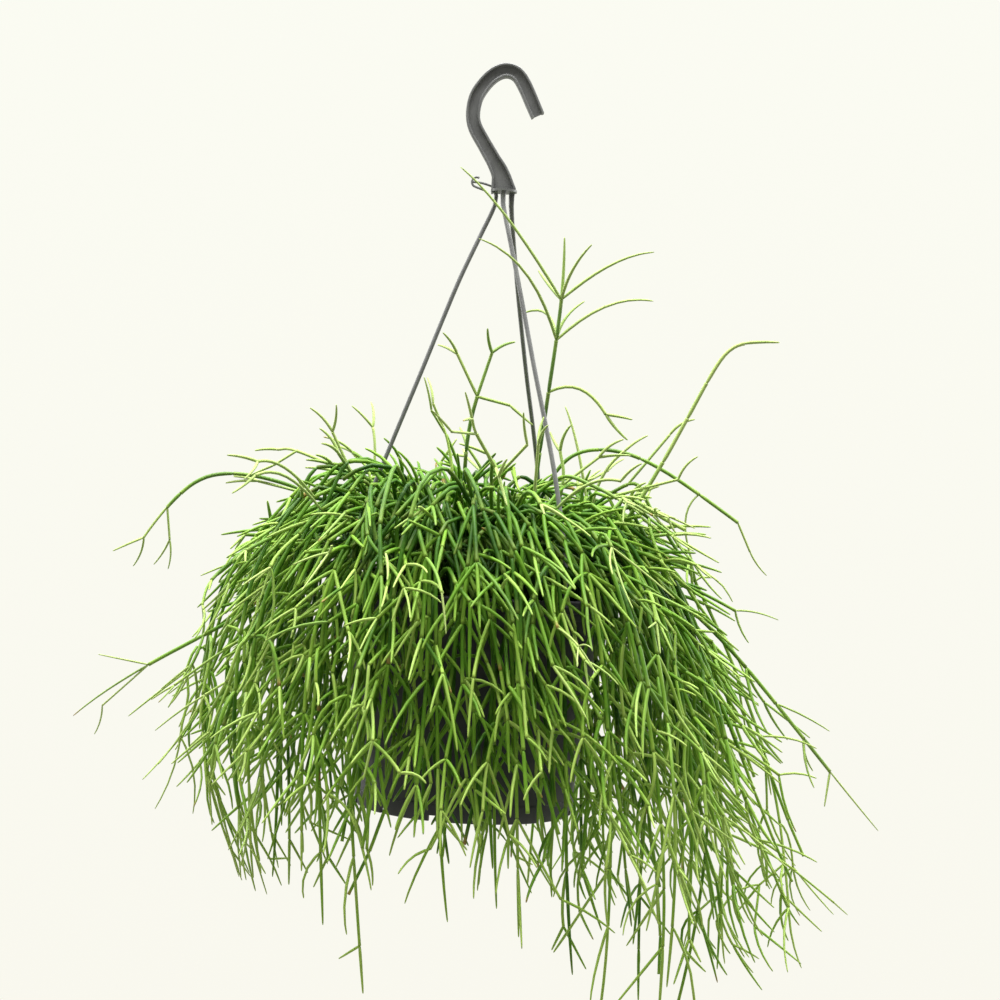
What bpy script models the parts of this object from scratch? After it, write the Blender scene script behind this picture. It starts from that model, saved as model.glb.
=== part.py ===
"""A potted rhipsalis: a tapered plastic hanging pot on a moulded hook hanger, filled with potting mix and
planted with rooted cuttings whose thin forking stems arch over the rim and hang.

Metres, +Z up. The origin is the saddle of the hook, the point that the whole thing hangs from."""

import math
import random

import bmesh
import bpy
from mathutils import Matrix, Vector
from mathutils.bvhtree import BVHTree

# Driving dimensions of the pot, measured down the pot's own axis from the hook's saddle.
TILT = math.radians(3.4)
RIM_DROP = 0.2705
POT_HEIGHT = 0.1130
RIM_RADIUS = 0.0710
WALL_TOP_RADIUS = 0.0680
WALL_BASE_RADIUS = 0.0562
WALL = 0.0014
RIM_BAND = 0.0100
RIM_SKIRT = 0.0010
RIM_TOP = 0.0020
FOOT_BAND = 0.0090
FOOT_STEP = 0.0008
FLOOR_LIFT = 0.0040
FLOOR_THICKNESS = 0.0016
NOTCHES = 12
NOTCH_WIDTH = 0.0040
NOTCH_HEIGHT = 0.0030
DRAINS = 6
DRAIN_RADIUS = 0.0035
DRAIN_CIRCLE = 0.0340
POT_SIDES = 32

# The three ears on the rim band, and the arms that end in them.
EAR_RADIUS = 0.0750
EAR_WIDTH = 0.0100
EAR_OUT = 0.0795
EAR_THICKNESS = 0.0035
EAR_DROP = 0.0022
EAR_HOLE = 0.0020
EAR_ANGLES = [math.radians(a) for a in (187.0, 307.0, 67.0)]
ARM_RADIUS = 0.0012
ARM_BOWS = [-0.0005, 0.0047, 0.0078]
ARM_TWIST = math.radians(-37.0)
ARM_START = 0.0050
BARB_RADIUS = 0.0027
BARB_LENGTH = 0.0045
BARB_GAP = 0.0003
ARM_STEP = 0.0220

# The hook and its cap, in the plane that faces the viewer.
HOOK_DEPTH = 0.0062
HOOK_WEB = 0.0020
HOOK_FLANGE = 0.0013
CAP_RADIUS = 0.0069
CAP_THICKNESS = 0.0012
CAP_DROP = 0.0600
CAP_SHIFT = 0.0022
CATCH_RADIUS = 0.0026
CATCH_WIRE = 0.0006

# The potting mix.
SOIL_BELOW_RIM = 0.0130
SOIL_GAP = 0.0004
SOIL_SIDES = 24

# The plant. Its stems are three-sided bars a little thicker at the nodes, where forks grow from the faces.
CUTTINGS = 20
ROOT_SPREAD = 0.0560
TURN_BETWEEN_ROOTS = math.radians(137.508)
BEHIND = 0.15
ROOT_DEPTH = 0.0150
ROOT_RISE = 0.0040
ROOT_RADIUS = 0.0022
HOLE_RADIUS = 0.0030
STEM_RADIUS = 0.00138
TIP_SHARE = 0.62
STEM_GAP = 0.0005
NODE_HALF = 0.0012
FREE_FORK = 0.0070
LONG_TWIG = 0.0330
FORK_COSINE = 0.85
CELL = 0.0140
SEED = 4684
GRAVITY = Vector((0.0, 0.0, -1.0))
THIRD = math.tau / 3


def clear_scene():
    for thing in list(bpy.data.objects):
        bpy.data.objects.remove(thing, do_unlink=True)


def plain_material(name, colour, roughness):
    material = bpy.data.materials.new(name)
    material.use_nodes = True
    shader = material.node_tree.nodes["Principled BSDF"]
    shader.inputs["Base Color"].default_value = (*colour, 1.0)
    shader.inputs["Roughness"].default_value = roughness
    shader.inputs["Metallic"].default_value = 0.0
    return material


def named_object(name, bm, material):
    mesh = bpy.data.meshes.new(name)
    bm.to_mesh(mesh)
    bm.free()
    mesh.materials.append(material)
    thing = bpy.data.objects.new(name, mesh)
    bpy.context.scene.collection.objects.link(thing)
    return thing


def union_into(thing, helpers):
    apply_boolean(thing, helpers, "UNION")


def cut_from(thing, helpers):
    apply_boolean(thing, helpers, "DIFFERENCE")


def apply_boolean(thing, helpers, operation):
    """Joins the helpers to an object or cuts them from it with one Boolean, and removes them."""
    group = bpy.data.collections.new(thing.name + "_helpers")
    bpy.context.scene.collection.children.link(group)
    for helper in helpers:
        bpy.context.scene.collection.objects.unlink(helper)
        group.objects.link(helper)
    boolean = thing.modifiers.new(operation.lower(), "BOOLEAN")
    boolean.operation = operation
    boolean.operand_type = "COLLECTION"
    boolean.collection = group
    boolean.solver = "EXACT"
    bpy.context.view_layer.update()
    graph = bpy.context.evaluated_depsgraph_get()
    joined = bpy.data.meshes.new_from_object(thing.evaluated_get(graph))
    thing.modifiers.clear()
    thing.data = joined
    for helper in helpers:
        bpy.data.objects.remove(helper, do_unlink=True)
    bpy.data.collections.remove(group)


def smooth_path(points, spacing):
    """Places along a smooth curve through the points, about one for each spacing."""
    ends = [points[0] * 2 - points[1]] + list(points) + [points[-1] * 2 - points[-2]]
    path = []
    for i in range(1, len(ends) - 2):
        a, b, c, d = ends[i - 1:i + 3]
        steps = max(1, round((c - b).length / spacing))
        for k in range(steps):
            t = k / steps
            path.append(0.5 * (2 * b + (c - a) * t + (2 * a - 5 * b + 4 * c - d) * t * t
                               + (3 * b - a - 3 * c + d) * t ** 3))
    path.append(points[-1].copy())
    return path


def sweep(path, profile_at, across):
    """A closed bar along a path. profile_at(i) gives the section's points as (side, up) pairs, where side is
    along `across` turned square to the path."""
    bm = bmesh.new()
    rings = []
    for i, place in enumerate(path):
        ahead = (path[min(i + 1, len(path) - 1)] - path[max(i - 1, 0)]).normalized()
        side = (across - ahead * across.dot(ahead)).normalized()
        up = side.cross(ahead)
        rings.append([bm.verts.new(place + side * s + up * u) for s, u in profile_at(i)])
    count = len(rings[0])
    for low, high in zip(rings, rings[1:]):
        for k in range(count):
            bm.faces.new((low[k], low[(k + 1) % count], high[(k + 1) % count], high[k]))
    bm.faces.new(reversed(rings[0]))
    bm.faces.new(rings[-1])
    bmesh.ops.recalc_face_normals(bm, faces=bm.faces)
    return bm


def round_section(half_side, half_up, sides):
    turn = [math.tau * (k + 0.5) / sides for k in range(sides)]
    return [(half_side * math.cos(a), half_up * math.sin(a)) for a in turn]


# The pot: a turned profile, then notches and drains cut from its foot and holes from its ears.

def wall_radius(drop):
    """Outer radius of the tapered wall at a drop below the rim's top."""
    return WALL_TOP_RADIUS + (WALL_BASE_RADIUS - WALL_TOP_RADIUS) * drop / POT_HEIGHT


def pot_profile():
    """Half section of the pot, up the inside, over the rim and down the outside to the foot, then back to the
    middle under the raised floor."""
    rim = -RIM_DROP
    base = rim - POT_HEIGHT
    floor = base + FLOOR_LIFT
    inner_foot = wall_radius(POT_HEIGHT - FLOOR_LIFT) - WALL
    return [
        (0.0, floor + FLOOR_THICKNESS),
        (inner_foot, floor + FLOOR_THICKNESS),
        (wall_radius(RIM_BAND) - WALL, rim - RIM_BAND),
        (WALL_TOP_RADIUS - WALL, rim - 0.0006),
        (WALL_TOP_RADIUS - WALL + 0.0006, rim),
        (RIM_RADIUS - 0.0008, rim),
        (RIM_RADIUS, rim - 0.0008),
        (RIM_RADIUS - 0.0004, rim - RIM_BAND),
        (RIM_RADIUS - 0.0004 - RIM_SKIRT, rim - RIM_BAND),
        (RIM_RADIUS - 0.0006 - RIM_SKIRT, rim - RIM_TOP),
        (wall_radius(RIM_TOP) + 0.0002, rim - RIM_TOP),
        (wall_radius(POT_HEIGHT - FOOT_BAND), base + FOOT_BAND),
        (wall_radius(POT_HEIGHT - FOOT_BAND) + FOOT_STEP, base + FOOT_BAND - 0.0006),
        (WALL_BASE_RADIUS + FOOT_STEP, base),
        (WALL_BASE_RADIUS - WALL, base),
        (inner_foot - 0.0004, floor),
        (0.0, floor),
    ]


def turned(profile, sides):
    bm = bmesh.new()
    verts = [bm.verts.new((r, 0.0, z)) for r, z in profile]
    edges = [bm.edges.new(pair) for pair in zip(verts, verts[1:])]
    bmesh.ops.spin(bm, geom=verts + edges, axis=(0, 0, 1), cent=(0, 0, 0), steps=sides,
                   angle=math.tau, use_merge=True)
    bmesh.ops.remove_doubles(bm, verts=bm.verts, dist=1e-6)
    bmesh.ops.recalc_face_normals(bm, faces=bm.faces)
    return bm


def block(name, size, centre, angle):
    """A box whose middle is turned round the pot's axis, for cutters and ears."""
    bm = bmesh.new()
    bmesh.ops.create_cube(bm, size=1.0)
    bmesh.ops.scale(bm, vec=size, verts=bm.verts)
    bmesh.ops.translate(bm, vec=centre, verts=bm.verts)
    bmesh.ops.rotate(bm, cent=(0, 0, 0), matrix=Matrix.Rotation(angle, 3, "Z"), verts=bm.verts)
    return helper_object(name, bm)


def rod(name, radius, length, centre, sides):
    bm = bmesh.new()
    bmesh.ops.create_cone(bm, cap_ends=True, segments=sides, radius1=radius, radius2=radius, depth=length)
    bmesh.ops.translate(bm, vec=centre, verts=bm.verts)
    return helper_object(name, bm)


def helper_object(name, bm):
    mesh = bpy.data.meshes.new(name)
    bm.to_mesh(mesh)
    bm.free()
    helper = bpy.data.objects.new(name, mesh)
    bpy.context.scene.collection.objects.link(helper)
    return helper


def round_the_axis(radius, angle, z):
    return Vector((radius * math.cos(angle), radius * math.sin(angle), z))


def build_pot(parent):
    plastic = plain_material("pot_plastic", (0.035, 0.036, 0.038), 0.5)
    pot = named_object("pot", turned(pot_profile(), POT_SIDES), plastic)
    ear_inner = RIM_RADIUS - 0.0012
    ear_size = (EAR_OUT - ear_inner, EAR_WIDTH, EAR_THICKNESS)
    ear_centre = ((EAR_OUT + ear_inner) / 2, 0.0, -RIM_DROP - EAR_DROP - EAR_THICKNESS / 2)
    union_into(pot, [block("ear", ear_size, ear_centre, angle) for angle in EAR_ANGLES])
    base = -RIM_DROP - POT_HEIGHT
    notch_size = (0.0080, NOTCH_WIDTH, NOTCH_HEIGHT * 2)
    step = math.tau / NOTCHES
    cutters = [block("notch", notch_size, (WALL_BASE_RADIUS, 0.0, base), step * (k + 0.5))
               for k in range(NOTCHES)]
    cutters += [rod("drain", DRAIN_RADIUS, 0.02,
                    round_the_axis(DRAIN_CIRCLE, math.tau * k / DRAINS, base + FLOOR_LIFT), 8)
                for k in range(DRAINS)]
    cutters += [rod("ear_hole", EAR_HOLE, 0.02, round_the_axis(EAR_RADIUS, angle, -RIM_DROP), 8)
                for angle in EAR_ANGLES]
    cut_from(pot, cutters)
    pot.parent = parent
    return pot


# The hanger: an H-section hook that flares into a cap, three arms and a small C-shaped label catch.

def hook_points():
    """Centre line and half width of the hook bar, from the cap up and round to the tip."""
    line = [(-0.0002, -0.0598, 0.0066), (-0.0018, -0.0508, 0.0047), (-0.0052, -0.0440, 0.0039),
            (-0.0098, -0.0360, 0.0037), (-0.0150, -0.0268, 0.0037), (-0.0164, -0.0195, 0.0037),
            (-0.0150, -0.0108, 0.0037), (-0.0103, -0.0030, 0.0036), (-0.0050, 0.0019, 0.0036),
            (0.0003, 0.0036, 0.0036), (0.0056, 0.0018, 0.0036), (0.0098, -0.0038, 0.0037),
            (0.0140, -0.0120, 0.0037), (0.0176, -0.0192, 0.0036)]
    return [(Vector((x + CAP_SHIFT * max(0.0, (-0.03 - z) / 0.03), 0.0, z)), half) for x, z, half in line]


def hook_section(half):
    """H section: two flanges at the bar's edges and a thin web between them."""
    deep, web, edge = HOOK_DEPTH / 2, HOOK_WEB / 2, half - HOOK_FLANGE
    return [(-deep, -half), (deep, -half), (deep, -edge), (web, -edge), (web, edge), (deep, edge),
            (deep, half), (-deep, half), (-deep, edge), (-web, edge), (-web, -edge), (-deep, -edge)]


def hook_bar():
    places = hook_points()
    path = smooth_path([p for p, _ in places], 0.0060)
    lookup = []
    for i, place in enumerate(path):
        nearest = min(range(len(places) - 1), key=lambda k: off_span(place, places[k][0], places[k + 1][0]))
        (a, wide), (b, narrow) = places[nearest], places[nearest + 1]
        share = min(1.0, max(0.0, (place - a).dot(b - a) / (b - a).length_squared))
        lookup.append(wide + (narrow - wide) * share)
    return sweep(path, lambda i: hook_section(lookup[i]), Vector((0.0, 1.0, 0.0)))


def off_span(place, a, b):
    share = min(1.0, max(0.0, (place - a).dot(b - a) / (b - a).length_squared))
    return (place - a - (b - a) * share).length


def arm_line(index):
    """The middle of an arm, from inside the cap to under its ear, in the assembly's own frame. The cap is
    turned a little against the pot, and the arms bow out sideways above the plant."""
    ear = round_the_axis(EAR_RADIUS, EAR_ANGLES[index], -RIM_DROP - EAR_DROP)
    away = round_the_axis(1.0, EAR_ANGLES[index] + ARM_TWIST, 0.0)
    start = Vector((CAP_SHIFT, 0.0, -CAP_DROP)) + away * ARM_START
    line = [start + Vector((0.0, 0.0, 0.0006)), start - Vector((0.0, 0.0, 0.0070))]
    for share in (0.22, 0.45, 0.68, 0.88):
        bulge = share ** 3 * (1 - share) / 0.1055
        line.append(start.lerp(ear, share) + Vector((ARM_BOWS[index] * bulge, 0.0, 0.0)))
    line.append(ear + Vector((0.0, 0.0, 0.0040)))
    line.append(ear - Vector((0.0, 0.0, EAR_THICKNESS)))
    return line


def arm_bar(index):
    path = smooth_path(arm_line(index), ARM_STEP)
    foot = path[-1].copy()
    foot.z = -RIM_DROP - EAR_DROP - EAR_THICKNESS - BARB_GAP
    path[-1] = foot
    barb = [foot + Vector((0, 0, z)) for z in (-0.0001, -0.0021, 0.0001 - BARB_LENGTH)]
    whole = path + barb
    angle = EAR_ANGLES[index]
    across = Vector((-math.sin(angle), math.cos(angle), 0.0))
    halves = [(ARM_RADIUS, ARM_RADIUS)] * len(path)
    halves[0] = (0.0024, 0.0010)
    halves[1] = (0.0017, 0.0010)
    halves += [(BARB_RADIUS, BARB_RADIUS), (BARB_RADIUS, BARB_RADIUS), (0.0013, 0.0013)]
    return helper_object("arm", sweep(whole, lambda i: round_section(*halves[i], 6), across))


def catch_wires():
    """The label catch: a stalk from the cap's left side that ends in a C open towards the cap."""
    middle = Vector((CAP_SHIFT - 0.0145, 0.0, -CAP_DROP + 0.0042))
    turns = [math.radians(a) for a in (62, 100, 140, 180, 220, 256)]
    loop = [middle + Vector((math.cos(a), 0.0, math.sin(a))) * CATCH_RADIUS for a in turns]
    loop.append(middle + Vector((0.0040, 0.0, -0.0040)))
    stalk = [middle + Vector((-0.0022, 0.0, 0.0)), middle + Vector((0.0030, 0.0, -0.0004)),
             Vector((CAP_SHIFT - 0.0050, 0.0, -CAP_DROP + 0.0020))]
    wire = round_section(CATCH_WIRE, CATCH_WIRE, 6)
    for line in (loop, stalk):
        yield helper_object("catch", sweep(smooth_path(line, 0.002), lambda i: wire, Vector((0.0, 1.0, 0.0))))


def cap_disc():
    place = Vector((CAP_SHIFT, 0.0, -CAP_DROP + 0.0002))
    return rod("cap", CAP_RADIUS, CAP_THICKNESS, place, 16)


def build_hanger(parent):
    plastic = plain_material("hanger_plastic", (0.10, 0.105, 0.105), 0.45)
    hanger = named_object("hanger", hook_bar(), plastic)
    union_into(hanger, [cap_disc()] + [arm_bar(k) for k in range(3)] + list(catch_wires()))
    hanger.parent = parent
    return hanger


# The potting mix: a tapered plug with a plain hole for every cutting.

def hung(x, y, z):
    """World place of a point given in the tilted frame of pot and hanger."""
    return Vector((x * math.cos(TILT) + z * math.sin(TILT), y, -x * math.sin(TILT) + z * math.cos(TILT)))


def unhung(place):
    """The tilted frame's (x, y, z) of a world place."""
    return (place.x * math.cos(TILT) - place.z * math.sin(TILT), place.y,
            place.x * math.sin(TILT) + place.z * math.cos(TILT))


def root_spot(index):
    """Where a cutting stands, as (x, y) round the pot's axis: a sunflower spread over the soil."""
    radius = ROOT_SPREAD * math.sqrt((index + 0.6) / CUTTINGS)
    angle = index * TURN_BETWEEN_ROOTS + 0.9
    return radius * math.cos(angle), radius * math.sin(angle)


def build_soil(parent):
    mix = plain_material("potting_mix", (0.045, 0.030, 0.020), 0.95)
    top = -RIM_DROP - SOIL_BELOW_RIM
    low = -RIM_DROP - POT_HEIGHT + FLOOR_LIFT + FLOOR_THICKNESS + SOIL_GAP
    # The wall's flats lie closer in than its corners, and so do the soil's.
    flat = math.cos(math.pi / POT_SIDES)
    high_radius = (wall_radius(SOIL_BELOW_RIM) - WALL) * flat - SOIL_GAP
    low_radius = (wall_radius(POT_HEIGHT - FLOOR_LIFT) - WALL) * flat - SOIL_GAP
    profile = [(0.0, low), (low_radius, low), (high_radius, top), (0.0, top)]
    soil = named_object("soil", turned(profile, SOIL_SIDES), mix)
    cutters = []
    for index in range(CUTTINGS):
        x, y = root_spot(index)
        middle = Vector((x, y, top - ROOT_DEPTH / 2 + 0.0050))
        cutters.append(rod("hole", HOLE_RADIUS, ROOT_DEPTH + 0.0106, middle, 6))
    cut_from(soil, cutters)
    soil.parent = parent
    return soil


# How the stems grow. Each span that has grown is filed, and a new one is bent until it passes clear of it.

class Thicket:
    def __init__(self):
        self.cells = {}
        self.spans = []

    def cells_of(self, a, b, pad):
        low = [math.floor((min(a[k], b[k]) - pad) / CELL) for k in range(3)]
        high = [math.floor((max(a[k], b[k]) + pad) / CELL) for k in range(3)]
        for i in range(low[0], high[0] + 1):
            for j in range(low[1], high[1] + 1):
                for k in range(low[2], high[2] + 1):
                    yield i, j, k

    def add(self, a, b, radius, nodes=()):
        self.spans.append((a, b, radius, nodes))
        for cell in self.cells_of(a, b, radius):
            self.cells.setdefault(cell, []).append(len(self.spans) - 1)

    def forget_after(self, count):
        """Takes back every span filed after the first so many."""
        while len(self.spans) > count:
            a, b, radius, _ = self.spans.pop()
            for cell in self.cells_of(a, b, radius):
                self.cells[cell].pop()

    def clear(self, a, b, radius, node=None):
        """Whether a span passes clear. Near the node it grows from, it may touch what else meets there."""
        seen = set()
        for cell in self.cells_of(a, b, radius + STEM_GAP):
            seen.update(self.cells.get(cell, ()))
        length = (b - a).length
        start = a + (b - a) * min(1.0, FREE_FORK / length)
        for index in sorted(seen):
            c, d, other, nodes = self.spans[index]
            if node is not None and node in nodes:
                if length > FREE_FORK and between_spans(start, b, c, d) < radius + other + STEM_GAP:
                    return False
            elif between_spans(a, b, c, d) < radius + other + STEM_GAP:
                return False
        return True


def between_spans(a, b, c, d):
    """Least distance between two straight spans."""
    u, v, w = b - a, d - c, a - c
    uu, uv, vv, uw, vw = u.dot(u), u.dot(v), v.dot(v), u.dot(w), v.dot(w)
    bottom = uu * vv - uv * uv
    s = min(1.0, max(0.0, (uv * vw - vv * uw) / bottom)) if bottom > 1e-14 else 0.0
    t = (uv * s + vw) / vv if vv > 1e-14 else 0.0
    if t < 0.0 or t > 1.0:
        t = min(1.0, max(0.0, t))
        s = min(1.0, max(0.0, (uv * t - uw) / uu)) if uu > 1e-14 else 0.0
    return (w + u * s - v * t).length


def clear_of_pot(a, b):
    """Whether a span stays off the pot's wall and rim, off the soil, and out of the space below the pot."""
    steps = max(2, math.ceil((b - a).length / 0.0025))
    for k in range(steps + 1):
        x, y, z = unhung(a.lerp(b, k / steps))
        drop = -RIM_DROP - z
        if drop < -STEM_RADIUS - 0.0012:
            continue
        out = math.hypot(x, y)
        if drop > POT_HEIGHT + 0.004:
            continue
        outer = RIM_RADIUS if drop < RIM_BAND + 0.002 else wall_radius(drop) + FOOT_STEP
        inside = WALL_TOP_RADIUS - WALL - STEM_RADIUS - 0.0012
        if drop < SOIL_BELOW_RIM - STEM_RADIUS and out < inside:
            continue
        if out > outer + STEM_RADIUS + 0.0010:
            continue
        return False
    return True


def file_hanger(thicket):
    """Files the arms, cap, hook and ears, so that stems bend round them."""
    for index in range(3):
        line = [hung(*p) for p in smooth_path(arm_line(index), ARM_STEP)]
        for a, b in zip(line, line[1:]):
            thicket.add(a, b, ARM_RADIUS + 0.0006)
        x, y, _ = round_the_axis(EAR_RADIUS, EAR_ANGLES[index], 0.0)
        thicket.add(hung(x, y, -RIM_DROP - 0.0010), hung(x, y, -RIM_DROP - 0.0110), 0.0068)
    line = [hung(*p) for p, _ in hook_points()]
    for a, b in zip(line, line[1:]):
        thicket.add(a, b, 0.0055)
    low = hung(CAP_SHIFT, 0.0, -CAP_DROP)
    thicket.add(low, hung(CAP_SHIFT - 0.0190, 0.0, -CAP_DROP + 0.0042), 0.0040)
    thicket.add(low, hung(CAP_SHIFT, 0.0, -CAP_DROP - 0.0120), CAP_RADIUS)


def corners_round(centre, direction, grown_from, radius, twist=0.0):
    """Three corners of a stem round a place, turned to follow the three corners that they grow from."""
    first = direction.orthogonal().normalized()
    second = direction.cross(first)
    middle = (grown_from[0] + grown_from[1] + grown_from[2]) / 3
    cosine = sine = 0.0
    for i, corner in enumerate(grown_from):
        arm = corner - middle
        angle = math.atan2(arm.dot(second), arm.dot(first)) - THIRD * i
        cosine += math.cos(angle)
        sine += math.sin(angle)
    turn = math.atan2(sine, cosine) + twist
    return [centre + first * (radius * math.cos(turn + THIRD * i))
            + second * (radius * math.sin(turn + THIRD * i)) for i in range(3)]


class Stem:
    """One stretch of stem from a node: its middle line, the corners along it, and what forks from its end."""

    def __init__(self, line, radius, start_corners):
        self.line = line
        self.radius = radius
        self.rings = []
        self.forks = {}
        corners = start_corners
        last = len(line) - 1
        for i in range(1, last):
            way = ((line[i] - line[i - 1]).normalized() + (line[i + 1] - line[i]).normalized()).normalized()
            corners = corners_round(line[i], way, corners, radius)
            self.rings.append(corners)
        self.way = (line[last] - line[last - 1]).normalized()
        self.low = corners_round(line[last] - self.way * NODE_HALF, self.way, corners, radius)
        self.high = corners_round(line[last] + self.way * NODE_HALF, self.way, self.low, radius, THIRD / 2)
        self.tip = corners_round(line[last], self.way, corners, radius * TIP_SHARE)

    def slot_corners(self, slot):
        """The face that a fork grows from: slot 0 goes straight on, 1 to 3 go out at the sides."""
        if slot == 0:
            return self.high
        after = slot % 3
        return [self.low[after], self.high[after], self.high[slot - 1]]

    def slot_way(self, slot):
        """The way out of a side face, square to the stem."""
        corner = self.low[slot % 3] - self.line[-1]
        return (corner - self.way * corner.dot(self.way)).normalized()


def try_span(thicket, points, radius, node):
    """Whether every span of a stretch passes clear of the pot and of all that has grown."""
    for i, (a, b) in enumerate(zip(points, points[1:])):
        if not clear_of_pot(a, b):
            return False
        if not thicket.clear(a, b, radius, node if i == 0 else None):
            return False
    return True


def first_shell(parent, slot, stem):
    """The triangles of a stem's first span."""
    low = parent.slot_corners(slot)
    high = stem.rings[0] if stem.rings else stem.low
    shell = []
    for i in range(3):
        after = (i + 1) % 3
        shell += [(low[i], low[after], high[after]), (low[i], high[after], high[i])]
    return shell


def shells_cross(one, other):
    """Whether two first spans cross anywhere but at a corner that they share."""
    places = [[corner for face in shell for corner in face] for shell in (one, other)]
    faces = [[(3 * k, 3 * k + 1, 3 * k + 2) for k in range(len(shell))] for shell in (one, other)]
    trees = [BVHTree.FromPolygons(p, f) for p, f in zip(places, faces)]
    for i, j in trees[0].overlap(trees[1]):
        if all((a - b).length > 1e-6 for a in one[i] for b in other[j]):
            return True
    return False


def try_stem(thicket, parent, slot, points):
    """Grows a stretch of stem from a node if it passes clear of everything, or returns None."""
    if not goes_well(parent, slot, points) or not try_span(thicket, points, STEM_RADIUS, id(parent)):
        return None
    stem = Stem(points, STEM_RADIUS, parent.slot_corners(slot))
    shell = first_shell(parent, slot, stem)
    if any(shells_cross(shell, first_shell(parent, k, fork)) for k, fork in parent.forks.items()):
        return None
    parent.forks[slot] = stem
    last = len(points) - 2
    for i, (a, b) in enumerate(zip(points, points[1:])):
        nodes = (id(parent),) * (i == 0) + (id(stem),) * (i == last)
        thicket.add(a, b, STEM_RADIUS, nodes)
    return stem


def grow_along(thicket, rng, parent, slot, route, joints, wander):
    """A long stem that follows a route from node to node, bent clear of all that has grown. Returns its
    stretches in order."""
    stems = []
    shift = Vector((0.0, 0.0, 0.0))
    for low, high in zip(joints, joints[1:]):
        turning = heading(route, low).angle(heading(route, high), 0.0)
        count = 1 + (turning > 0.22) + (turning > 0.6) + (turning > 1.2)
        for attempt in range(30):
            spread = wander * (0.3 + 0.12 * attempt)
            move = Vector((rng.gauss(0, spread), rng.gauss(0, spread), rng.gauss(0, spread * 0.6)))
            later = shift * 0.8 + move
            points = [parent.line[-1]]
            if parent.radius > STEM_RADIUS:
                points.append(points[0] + (along(route, low + 0.012) + later * 0.3 - points[0]).normalized()
                              * FREE_FORK)
            for k in range(1, count + 1):
                share = k / count
                points.append(along(route, low + (high - low) * share) + shift.lerp(later, share))
            stem = try_stem(thicket, parent, slot, points)
            if stem:
                break
        else:
            return stems
        shift = later
        parent = stem
        stems.append(stem)
        slot = 0
    return stems


def heading(route, distance):
    return along(route, distance + 0.004) - along(route, distance - 0.004)


def goes_well(parent, slot, points):
    """Whether a stretch leaves its node the way its face looks, and bends no more than a stem does."""
    ways = [(b - a).normalized() for a, b in zip(points, points[1:])]
    if ways[0].dot(parent.way) < (0.66 if slot == 0 else 0.0):
        return False
    across = ways[0] - parent.way * ways[0].dot(parent.way)
    if slot and (across.length < 0.42 or across.normalized().dot(parent.slot_way(slot)) < 0.64):
        return False
    for fork in parent.forks.values():
        if ways[0].dot((fork.line[1] - fork.line[0]).normalized()) > FORK_COSINE:
            return False
    return all(a.dot(b) > 0.74 for a, b in zip(ways, ways[1:]))


def grow_well(thicket, rng, parent, slot, plan, wander):
    """Grows a long stem by a plan that draws a new route each time, until nearly all of one finds its way."""
    for attempt in range(40):
        mark = len(thicket.spans)
        route, joints = plan(rng)
        stems = grow_along(thicket, rng, parent, slot, route, joints, wander)
        wanted = 1.0 if attempt < 16 else 0.8 if attempt < 28 else 0.5
        if len(stems) >= wanted * (len(joints) - 1):
            return stems
        thicket.forget_after(mark)
        parent.forks.pop(slot, None)
    return []


def along(route, distance):
    """The place at a distance along a list of close points."""
    for a, b in zip(route, route[1:]):
        length = (b - a).length
        if distance <= length:
            return a.lerp(b, distance / length if length else 0.0)
        distance -= length
    return route[-1] + (route[-1] - route[-2]).normalized() * distance


def route_length(route):
    return sum((b - a).length for a, b in zip(route, route[1:]))


def grow_twig(thicket, rng, parent, slot, length, sag, spans=2, outward=None):
    """One short stretch from a node, leaning out by its slot and drooping by its sag."""
    for attempt in range(16):
        lean = rng.uniform(0.0, 0.42) if slot == 0 else rng.uniform(0.50, 1.05)
        if slot == 0:
            side = parent.way.orthogonal().normalized()
            turn = rng.uniform(0.0, math.tau)
        else:
            side = parent.slot_way(slot)
            turn = rng.uniform(-0.45, 0.45)
        side = Matrix.Rotation(turn, 3, parent.way) @ side
        first = parent.way * math.cos(lean) + side * math.sin(lean)
        reach = length * rng.uniform(0.75, 1.2)
        start = parent.line[-1]
        pull = GRAVITY * sag + (outward * 0.3 if outward is not None else Vector((0, 0, 0)))
        second = (first + pull * rng.uniform(0.6, 1.3)).normalized()
        if spans == 1:
            points = [start, start + (first * 2 + second).normalized() * reach]
        else:
            middle = start + (first + pull * 0.2).normalized() * reach * 0.5
            points = [start, middle, middle + second * reach * 0.5]
        stem = try_stem(thicket, parent, slot, points)
        if stem:
            return stem
    return None


# The shape of the whole, by the angle round the pot: how far out and how far down the curtain hangs, and how
# far out, as a share of that, it already is at the level of the rim.

REACH = [0.186, 0.166, 0.140, 0.146, 0.160, 0.144, 0.124, 0.160]
BOTTOM = [-0.470, -0.445, -0.412, -0.402, -0.404, -0.402, -0.404, -0.466]
SHOULDER = [0.76, 0.82, 0.93, 0.93, 0.93, 0.93, 0.93, 0.80]
CENTRE = Vector((-0.0185, 0.0, 0.0))


def by_angle(values, angle):
    share = (angle / math.tau * len(values)) % len(values)
    low = int(share)
    part = share - low
    part = part * part * (3 - 2 * part)
    return values[low] + (values[(low + 1) % len(values)] - values[low]) * part


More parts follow.
